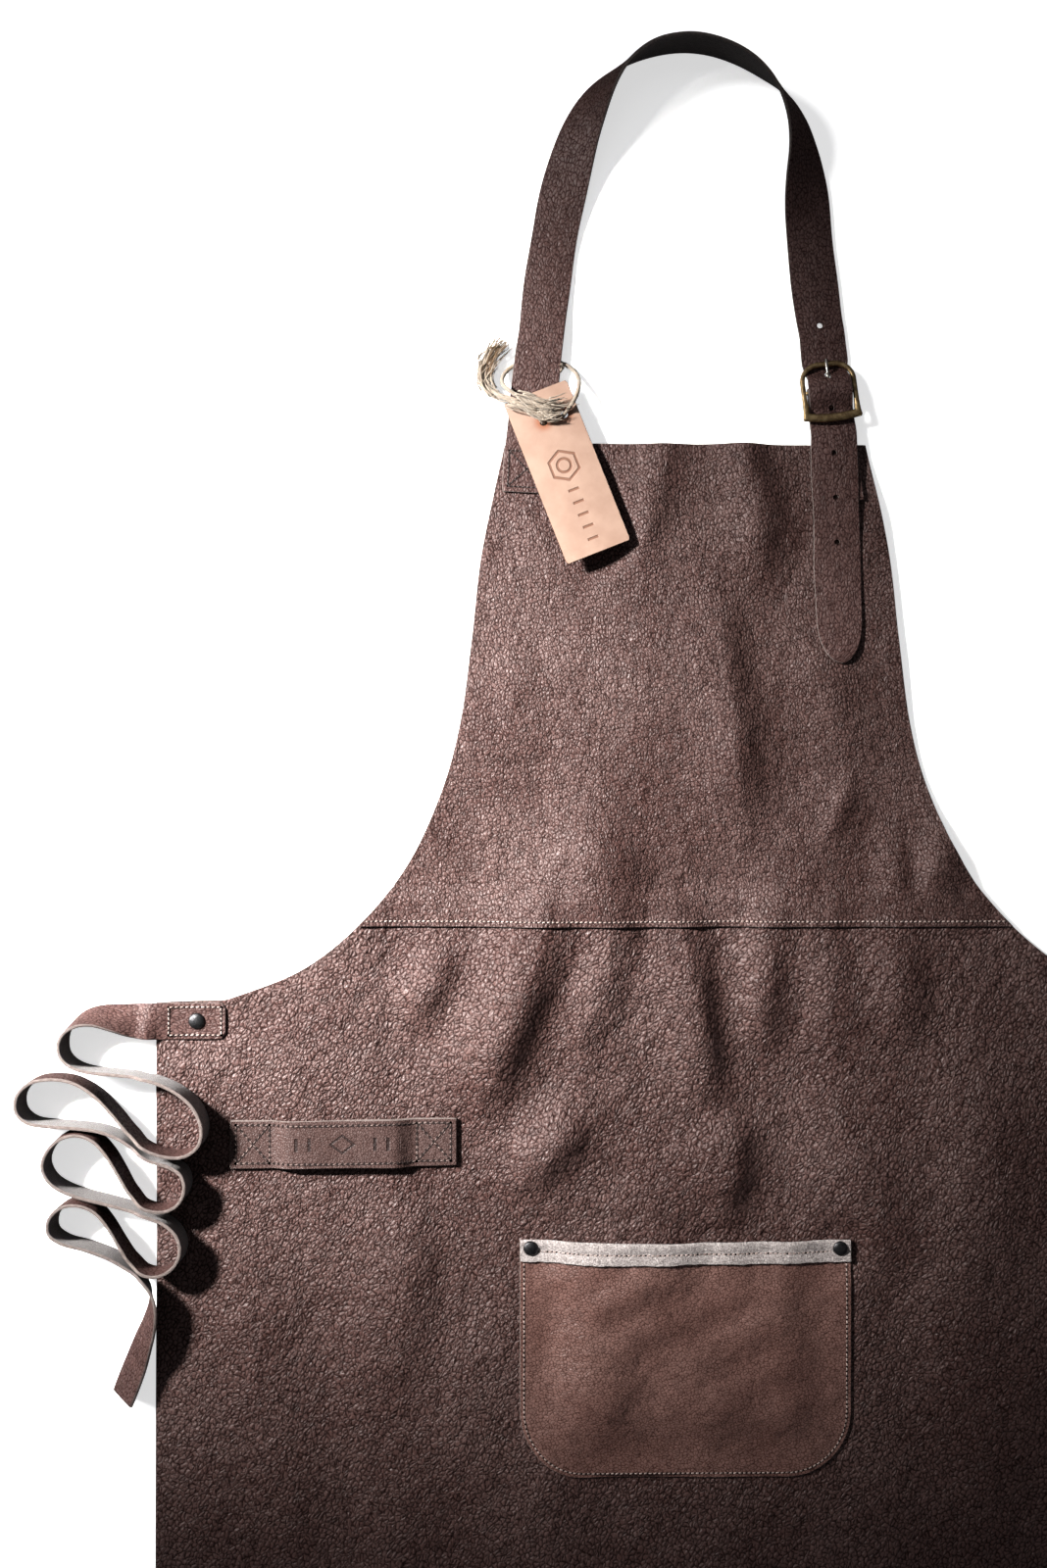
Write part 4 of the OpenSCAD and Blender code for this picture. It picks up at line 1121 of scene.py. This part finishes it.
def strap_top(route, thick, widths, crown=0.2, cols=9):
    """The grain face of a strap along [x, v, twist, height of its lower edge]."""
    x, v, twist, base = route.T
    t = unit(np.stack([np.gradient(x), np.gradient(v), np.zeros(len(x))], 1))
    side = np.stack([t[:, 1], -t[:, 0], np.zeros(len(x))], 1)
    w = np.radians(twist)[:, None]
    up = np.array([0, 0, 1.0])
    across, face = side * np.cos(w) + up * np.sin(w), -side * np.sin(w) + up * np.cos(w)
    z = base + widths / 2 * np.abs(np.sin(w[:, 0])) + thick / 2 * np.cos(w[:, 0])
    middle = np.stack([x, v, z], 1)
    share = np.linspace(-1, 1, cols)
    top = (middle[:, None] + across[:, None] * (share * 0.5)[None, :, None]
           * widths[:, None, None] + face[:, None] * thick / 2)
    bend = crown * (share ** 4)
    return top - face[:, None] * bend[None, :, None]


def strap_uv(top):
    """A strap's own map: across it and along it."""
    run = lengths(top[:, top.shape[1] // 2])
    wide = np.stack([lengths(row) for row in top])
    return np.stack([wide, np.repeat(run[:, None], top.shape[1], 1)], -1)


def round_ends(along, total, width, start_r, end_r):
    """Widths that round off a strap's corners at its ends."""
    w = np.full(len(along), float(width))
    for gone, r in ((along, start_r), (total - along, end_r)):
        if r:
            left = np.clip(r - gone, 0, r)
            w -= 2 * (r - np.sqrt(r * r - left * left))
    return w


# The waist strap, as in the CAD model, counted out from the skirt's side: flat on the skirt,
# then turning up on edge (distance out, above its middle line, twist), then folded on edge
# (distance out, above the seam)
WAIST_FLAT = [(-42, 0), (-23, 0), (-3, 0)]
WAIST_TWIST = [(11, 0.5, -25), (23, 2.5, -48), (35, 4, -64), (45, 2, -76), (52.5, -3.5, -85)]
WAIST_FOLDS = [
    (56, -69.5), (55, -78), (49, -84), (39, -87.5), (25, -89), (10, -90.5), (-3, -93),
    (-16, -99), (-26, -108), (-31, -120), (-29, -131), (-20, -137.5), (-8, -137.5),
    (4, -132.5), (14, -124), (24, -112), (35, -101), (48, -93.5), (62, -91.5), (74, -94),
    (81.5, -102), (81.5, -112), (74, -118.5), (61, -120.5), (46, -121.5), (32, -123.5),
    (20, -128), (10, -134.5), (0, -140.5), (-11, -144), (-18.5, -149), (-20.5, -158),
    (-16, -167), (-7, -171), (4, -169), (13, -161), (20, -149), (27, -137.5), (35, -129),
    (45, -125.5), (55, -127.5), (63, -134.5), (66.5, -144), (63, -153), (55, -159),
    (43, -163.5), (29, -167), (16, -170.5), (3, -174.5), (-8, -179), (-15.5, -186),
    (-18, -195), (-14.5, -204), (-6, -209.5), (4, -209), (13, -202.5), (20, -192),
    (27, -180.5), (34.5, -172), (44, -168), (54, -169), (61.5, -176), (62, -185.5),
    (54, -191.5), (41, -195), (27, -200), (17, -206), (8, -213), (2, -221.5),
    (0.5, -231), (2.5, -242), (7, -255), (13, -271), (20, -289)]
# Shares of the points between which its tail comes to lean over, and by how many degrees
LEAN_FROM, LEAN_TO, LEAN_BY = 0.9, 1.0, 42
# Its middle line, and how much of it is sewn down
WAIST_V, WAIST_SEWN = 501.5, 37
STRAP_LIFT = 0.1


def make_waist_strap(sign, name, node):
    """The left strap, or with sign 1 its mirror image."""
    route = [(a, WAIST_V + b, 0) for a, b in WAIST_FLAT]
    route += [(a, WAIST_V + b, c) for a, b, c in WAIST_TWIST]
    route += [(a, SEAM_V + b, -90) for a, b in WAIST_FOLDS]
    out, v, twist = smooth_path(route, 6).T
    share = np.linspace(0, 1, len(twist))
    twist = np.minimum(twist, 0) + LEAN_BY * ease((share - LEAN_FROM) / (LEAN_TO - LEAN_FROM))
    x = -SKIRT_W / 2 - out
    on_skirt = 1 - ease((out - 5) / 7)
    base = STRAP_LIFT + (PANEL_T + swell(x, v)) * on_skirt
    along = lengths(np.stack([x, v], 1))
    keep = np.concatenate([[True], np.diff(along) > 1e-6])
    widths = round_ends(along, along[-1], WAIST_W, 3.5, 0)
    top = strap_top(np.stack([x, v, twist, base], 1)[keep], STRAP_T, widths[keep])
    top[..., 0] += 0.35 * np.sin(along[keep] * 0.07)[:, None] * np.linspace(
        -1, 1, top.shape[1])
    uv = strap_uv(top)
    if sign > 0:
        top = top[:, ::-1] * np.array([-1, 1, 1])
        uv = uv[:, ::-1] + np.array([40, 0])
    strap = slab(name, top, uv, STRAP_T, hide("strap"), "skirt", bulge=0.25)
    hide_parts(node)


def make_waist_sewing(sign, name, node):
    """The stitched rectangle at a waist strap's sewn end."""
    inset = 2.4
    near = -SKIRT_W / 2 + 5 + inset
    far = near + WAIST_SEWN - 2 * inset
    low, high = WAIST_V - WAIST_W / 2 + inset, WAIST_V + WAIST_W / 2 - inset
    corners = [(near, low), (near, high), (far, high), (far, low), (near, low)]
    lines = []
    for a, b in zip(corners, corners[1:]):
        x, v = between(a, b)
        lines.append(np.stack([-sign * x, v, STRAP_LIFT + 2 * PANEL_T + swell(x, v)], 1))
    sew(name, node, lines, "pale", "skirt", "pale_thread", pitch=3.1, width=0.4, hole=0.9)


# The neck strap, as in the CAD model: across, above the seam, twist and height
NECK_LEFT = [
    (-98.3, 267, 0, 2.05), (-97.5, 282, 0, 2.05), (-96.5, 296, 0, 2.05), (-95, 311, 0, 2.2),
    (-93.5, 325, 0, 3.0), (-92, 336, 0, 3.4), (-90.5, 350, 0, 3.4), (-88.5, 365, 0, 2.9),
    (-86, 387, 0, 0.9), (-82.5, 412, 0, 0.1), (-77.5, 440, 4, 0.1), (-71, 467, 14, 0.1),
    (-63.5, 490, 32, 0.1), (-52.5, 511, 54, 0.1), (-38, 526.5, 74, 0.1), (-21, 536, 87, 0.1),
    (-3, 539.5, 90, 0.1), (14, 538, 90, 0.1), (31, 532, 88, 0.1), (46, 522.5, 82, 0.1),
    (59, 510, 70, 0.1), (67.5, 494, 58, 0.1), (72, 476, 44, 0.1), (74, 456, 24, 0.1),
    (75.6, 436, 7, 0.1), (77.6, 415, 0, 0.1), (80, 394, 0, 0.1), (82.4, 376, 0, 0.1)]
# Through the buckle: distance above the centre bar, height and width
NECK_WEAVE = [
    (37, 0.1, 28), (28, 0.1, 28), (22, 0.1, 28), (18.5, 0.1, 27.6), (15.8, 0.1, 26.2),
    (13.4, 0.4, 25), (11.2, 3.3, 24.4), (8.6, 7.3, 25), (5.6, 9.5, 25.8), (2, 10, 26),
    (-1.6, 9.9, 26), (-5, 8.6, 26), (-9, 6, 26.2), (-12, 4.6, 26.6), (-15, 4.25, 27),
    (-20, 4.3, 27.6), (-26, 4.9, 28)]
# The free tongue: across, above the seam and height
NECK_TONGUE = [
    (91, 296, 5.4), (91.2, 285, 5.4), (91.6, 272, 5.4), (92, 260, 5.4), (92.5, 248, 4.3),
    (93, 236, 2.8), (93.4, 222, 2.1), (94, 204, 2.1), (94.7, 188, 2.1), (95.1, 178, 2.1),
    (95.5, 170, 2.1), (95.8, 164.5, 2.1), (95.9, 161.8, 2.1)]
# Its holes; then where its rounded tip ends, above the seam, and how long the rounding is
NECK_HOLES = [(83.1, 370), (89.3, 318), (91, 290.5), (91.9, 263), (93, 236)]
TIP_UP, TIP_LONG = 161.6, 30
# The middle of the buckle's centre bar, the buckle's turn and how far its arch tips down
BUCKLE_AT = np.array([88.2, SEAM_V + 328.3, 6.8])
BUCKLE_TURN, BUCKLE_TIP = math.radians(6), math.radians(9)


def on_buckle(points, tipped=True):
    """From the buckle's own plane to the apron."""
    p = np.asarray(points, float)
    tip = BUCKLE_TIP if tipped else 0.0
    y = p[..., 1] * math.cos(tip) + p[..., 2] * math.sin(tip)
    z = -p[..., 1] * math.sin(tip) + p[..., 2] * math.cos(tip)
    c, s = math.cos(BUCKLE_TURN), math.sin(BUCKLE_TURN)
    return np.stack([BUCKLE_AT[0] + p[..., 0] * c - y * s,
                     BUCKLE_AT[1] + p[..., 0] * s + y * c, BUCKLE_AT[2] + z], -1)


def on_bib(x, v):
    """Swell under a strap that lies on the bib, fading out beyond the bib's top edge."""
    return swell(x, np.minimum(v, TOP_V)) * (1 - ease((v - TOP_V) / 20))


def make_neck_strap():
    route = [(x, SEAM_V + up, twist, base, NECK_W) for x, up, twist, base in NECK_LEFT]
    route += [(BUCKLE_AT[0] - p * math.sin(BUCKLE_TURN),
               BUCKLE_AT[1] + p * math.cos(BUCKLE_TURN), 0, base, w)
              for p, base, w in NECK_WEAVE]
    route += [(x, SEAM_V + up, 0, base, NECK_W) for x, up, base in NECK_TONGUE]
    curve = smooth_path(route, 6)
    x, v, twist, base, widths = curve.T
    twist = np.maximum(twist, 0)
    base = base + on_bib(x, v)
    from_tip = np.clip(v - SEAM_V - TIP_UP, 0, None)
    tongue = (x > 60) & (from_tip < TIP_LONG)
    oval = (1 - np.clip(1 - from_tip / TIP_LONG, 0, 1) ** 2.1) ** 0.56
    widths = np.where(tongue, np.maximum(NECK_W * oval, 2.0), widths)
    top = strap_top(np.stack([x, v, twist, base], 1), STRAP_T, widths, cols=13)
    ripple = 0.25 * np.sin(lengths(curve[:, :2]) * 0.11)
    top[..., 0] += ripple[:, None] * np.linspace(-1, 1, 13) ** 3
    strap = slab("neck_strap_leather", top, strap_uv(top), STRAP_T - 0.1, hide("strap"), None,
                 bulge=0.3)
    spots = [(a, SEAM_V + b) for a, b in NECK_HOLES]
    spots += [tuple(on_buckle([0, p, 0], False)[:2]) for p in (9.2, 10.6)]
    drill(strap, spots, 1.75, 2)
    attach(strap, "bib")
    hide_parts("neck_strap")


def cross_box(centre, turn, width, height):
    """Corners of a sewn box with a cross in it, as runs between two points."""
    c, s = math.cos(turn), math.sin(turn)
    w, h = width / 2, height / 2
    corner = [(centre[0] + a * c - b * s, centre[1] + a * s + b * c)
              for a, b in ((-w, -h), (w, -h), (w, h), (-w, h))]
    edges = [(corner[k], corner[(k + 1) % 4]) for k in range(4)]
    return edges + [(corner[0], corner[2]), (corner[1], corner[3])]


def make_neck_sewing():
    lines = []
    for a, b in cross_box((-97.8, SEAM_V + 281), math.radians(-3), 22, 22):
        x, v = between(a, b, 12)
        lines.append(np.stack([x, v, 2.05 + PANEL_T + on_bib(x, v)], 1))
    sew("neck_strap_stitches", "neck_strap_thread", lines, "dark", "bib", "dark_thread",
        pitch=2.6, width=0.4)


# ---- buckle

# The short strap, its slant, and the hollow of its fold round the centre bar
CHAPE_W, CHAPE_T, CHAPE_SKEW, EYE_R = 26.6, 1.5, math.radians(0.5), 1.4


def make_chape():
    """A short strap folded round the centre bar, both layers sewn to the bib."""
    z0 = -BUCKLE_AT[2]
    turn = np.radians(np.linspace(-90, 110, 15))
    r = EYE_R + CHAPE_T
    eye = [(r * math.cos(t), r * math.sin(t)) for t in turn]
    under = [(-68, z0 + 2.05), (-50, z0 + 2.05), (-31, z0 + 2.05), (-27, z0 + 1.7),
             (-21, z0 + 1.05), (-14, z0 + 1.0), (-9, z0 + 1.6), (-4, -r - 0.3)]
    over = [(-3.2, 1.9), (-6.5, 0.2), (-11, z0 + 4.1), (-16, z0 + 4.0), (-22, z0 + 4.0),
            (-27, z0 + 4.6), (-31, z0 + 5.0), (-50, z0 + 5.0), (-68, z0 + 5.0)]
    path = smooth_path(under + eye + over, 4)[::-1]
    share = np.linspace(-0.5, 0.5, 9)
    p = np.repeat(path[:, :1], 9, 1)
    x = np.repeat(share[None] * CHAPE_W, len(path), 0) - np.sin(CHAPE_SKEW) * p
    top = on_buckle(np.stack([x, p, np.repeat(path[:, 1:], 9, 1)], -1), False)
    top[..., 2] += on_bib(top[..., 0], top[..., 1])
    chape = slab("buckle_chape_leather", top, strap_uv(top), CHAPE_T - 0.1,
                 hide("strap"), "bib", bulge=0.2)
    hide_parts("buckle_chape")
    lines = []
    for a, b in cross_box((-3.6, -52), 0, 20, 24):
        x, p = between(a, b, 12)
        spot = on_buckle(np.stack([x, p, np.full(12, z0 + 5.0)], 1), False)
        spot[:, 2] += on_bib(spot[:, 0], spot[:, 1])
        lines.append(spot)
    sew("chape_stitches", "chape_thread", lines, "dark", "bib", "dark_thread", pitch=2.6,
        width=0.36)


def buckle_outline(width, low, high, shoulder, foot, bow, count=120):
    """Points round the buckle, from the middle of its bottom bar, the same way each time."""
    half = width / 2
    line = [(s * half * 0.9, low - bow * (1 - s * s)) for s in np.linspace(0, 1, 9)]
    line += [(half + foot * 0.8, low + 0.4), (half + foot, low + 1.6), (half + foot * 0.5,
              low + 4.2), (half + foot * 0.1, low + 9), (half, low + 14)]
    turn = np.radians(np.linspace(0, 90, 16))
    line += [(half - shoulder + shoulder * math.cos(t), high - shoulder
              + shoulder * math.sin(t)) for t in turn]
    line += [(0, high)]
    line = smooth_path(line, 4)
    run = lengths(line)
    at = np.linspace(0, run[-1], count // 2 + 1)
    right = np.stack([np.interp(at, run, line[:, k]) for k in range(2)], 1)
    left = right[-2:0:-1] * np.array([-1, 1])
    return np.vstack([right, left])


def make_buckle():
    """The frame, squarish in section, and its round centre bar."""
    outer = buckle_outline(34.6, -17.8, 19.2, 12.5, 0.9, 1.6)
    inner = buckle_outline(28.6, -13.2, 15.8, 9.0, -0.6, 1.0)
    count, sides = len(outer), 12
    middle, half = (outer + inner) / 2, (outer - inner) / 2
    verts = []
    for k in range(sides):
        turn = 2 * math.pi * (k + 0.5) / sides
        c, s = math.cos(turn), math.sin(turn)
        c, s = math.copysign(abs(c) ** 0.7, c), math.copysign(abs(s) ** 0.7, s)
        ring = middle + half * c
        verts.append(np.c_[ring, np.full(count, 1.4 * s)])
    verts = np.stack(verts, 1).reshape(-1, 3)
    faces, uvs = [], []
    for i in range(count):
        for k in range(sides):
            j, m = (i + 1) % count, (k + 1) % sides
            faces.append([i * sides + k, i * sides + m, j * sides + m, j * sides + k])
            uvs += [(i, k), (i, k + 1), (i + 1, k + 1), (i + 1, k)]
    bar = tube([(x, 0, 0) for x in np.linspace(-15.6, 15.6, 9)], 1.25, 16)
    parts = join([(verts, faces, np.array(uvs, float)), bar])
    buckle = build("buckle_brass", on_buckle(parts[0]), parts[1], parts[2],
                   [0] * len(parts[1]), [LOOKS["brass"]], "buckle")
    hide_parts("buckle_frame")


def make_prong():
    """A bent wire: its eye turns on the centre bar and its tip rests on the arch."""
    turn = np.radians(np.linspace(60, -240, 20))[::-1]
    eye = [(0, 2.3 * math.cos(t), 2.3 * math.sin(t)) for t in turn[:-3]]
    line = smooth_path(eye + [(0, 3.4, 0.9), (0, 6, 0.7), (0, 10, 1.3), (0, 14, 2.2),
                              (0, 17, 2.35), (0, 19.2, 2.2), (0, 20.0, 2.0)], 4)
    widths = np.interp(np.linspace(0, 1, len(line)), [0, 0.5, 0.85, 0.97, 1],
                       [0.95, 1.05, 1.0, 0.8, 0.3])
    verts, faces, uvs = tube(line, widths, 12)
    prong = build("buckle_prong_wire", on_buckle(verts), faces, uvs, [0] * len(faces),
                  [LOOKS["nickel"]], "prong")
    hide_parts("buckle_prong")


# ---- rivets

def lathe(profile, centre, sides=40):
    """Points, faces and map of a turned shape, from its rim in to its middle."""
    turn = np.arange(sides) * 2 * math.pi / sides
    verts = [(centre[0] + r * math.cos(t), centre[1] + r * math.sin(t), centre[2] + z)
             for r, z in profile[:-1] for t in turn]
    verts.append((centre[0], centre[1], centre[2] + profile[-1][1]))
    faces = [[i * sides + k, i * sides + (k + 1) % sides, (i + 1) * sides + (k + 1) % sides,
              (i + 1) * sides + k] for i in range(len(profile) - 2) for k in range(sides)]
    last = (len(profile) - 2) * sides
    faces += [[last + k, last + (k + 1) % sides, len(verts) - 1] for k in range(sides)]
    faces.append(list(range(sides))[::-1])
    verts = np.array(verts)
    uvs = np.array([verts[q, :2] for f in faces for q in f])
    return verts, faces, uvs


def make_rivets():
    """Domed heads over the CAD caps, and the same metal on the CAD posts."""
    for name, node, spots, d, z in (
            ("pocket_rivet_heads", "pocket_rivet_caps", [(-95, 362.2), (95, 362.2)], 9, 6.0),
            ("waist_rivet_heads", "waist_rivet_caps", [(-300.5, 501.5), (300.5, 501.5)], 10,
             4.04)):
        r = d / 2
        dome = [(r * math.sin(t), 0.45 + (d * 0.22 - 0.35) * math.cos(t))
                for t in np.radians([78, 66, 54, 42, 30, 18, 8, 0])]
        profile = [(r - 0.15, -0.1), (r, 0.12), (r, 0.38), (r - 0.12, 0.5)] + dome
        heads = solid(name, [lathe(profile, (x, v, z)) for x, v in spots], LOOKS["rivet"],
                      "skirt")
        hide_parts(node)
    for node in ("pocket_rivet_posts", "waist_rivet_posts"):
        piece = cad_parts[node]
        piece.data.materials.clear()
        piece.data.materials.append(LOOKS["rivet"])


make_lights(make_floor())
make_world()
make_skirt()
make_bib()
make_seam()
make_pocket()
make_pocket_sewing()
make_loop()
make_loop_sewing()
for sign, side in ((-1, "left"), (1, "right")):
    make_waist_strap(sign, f"waist_strap_{side}_leather", f"waist_strap_{side}")
for sign, side in ((-1, "left"), (1, "right")):
    make_waist_sewing(sign, f"waist_stitches_{side}", f"waist_thread_{side}")
make_neck_strap()
make_neck_sewing()
make_chape()
make_buckle()
make_prong()
make_rivets()
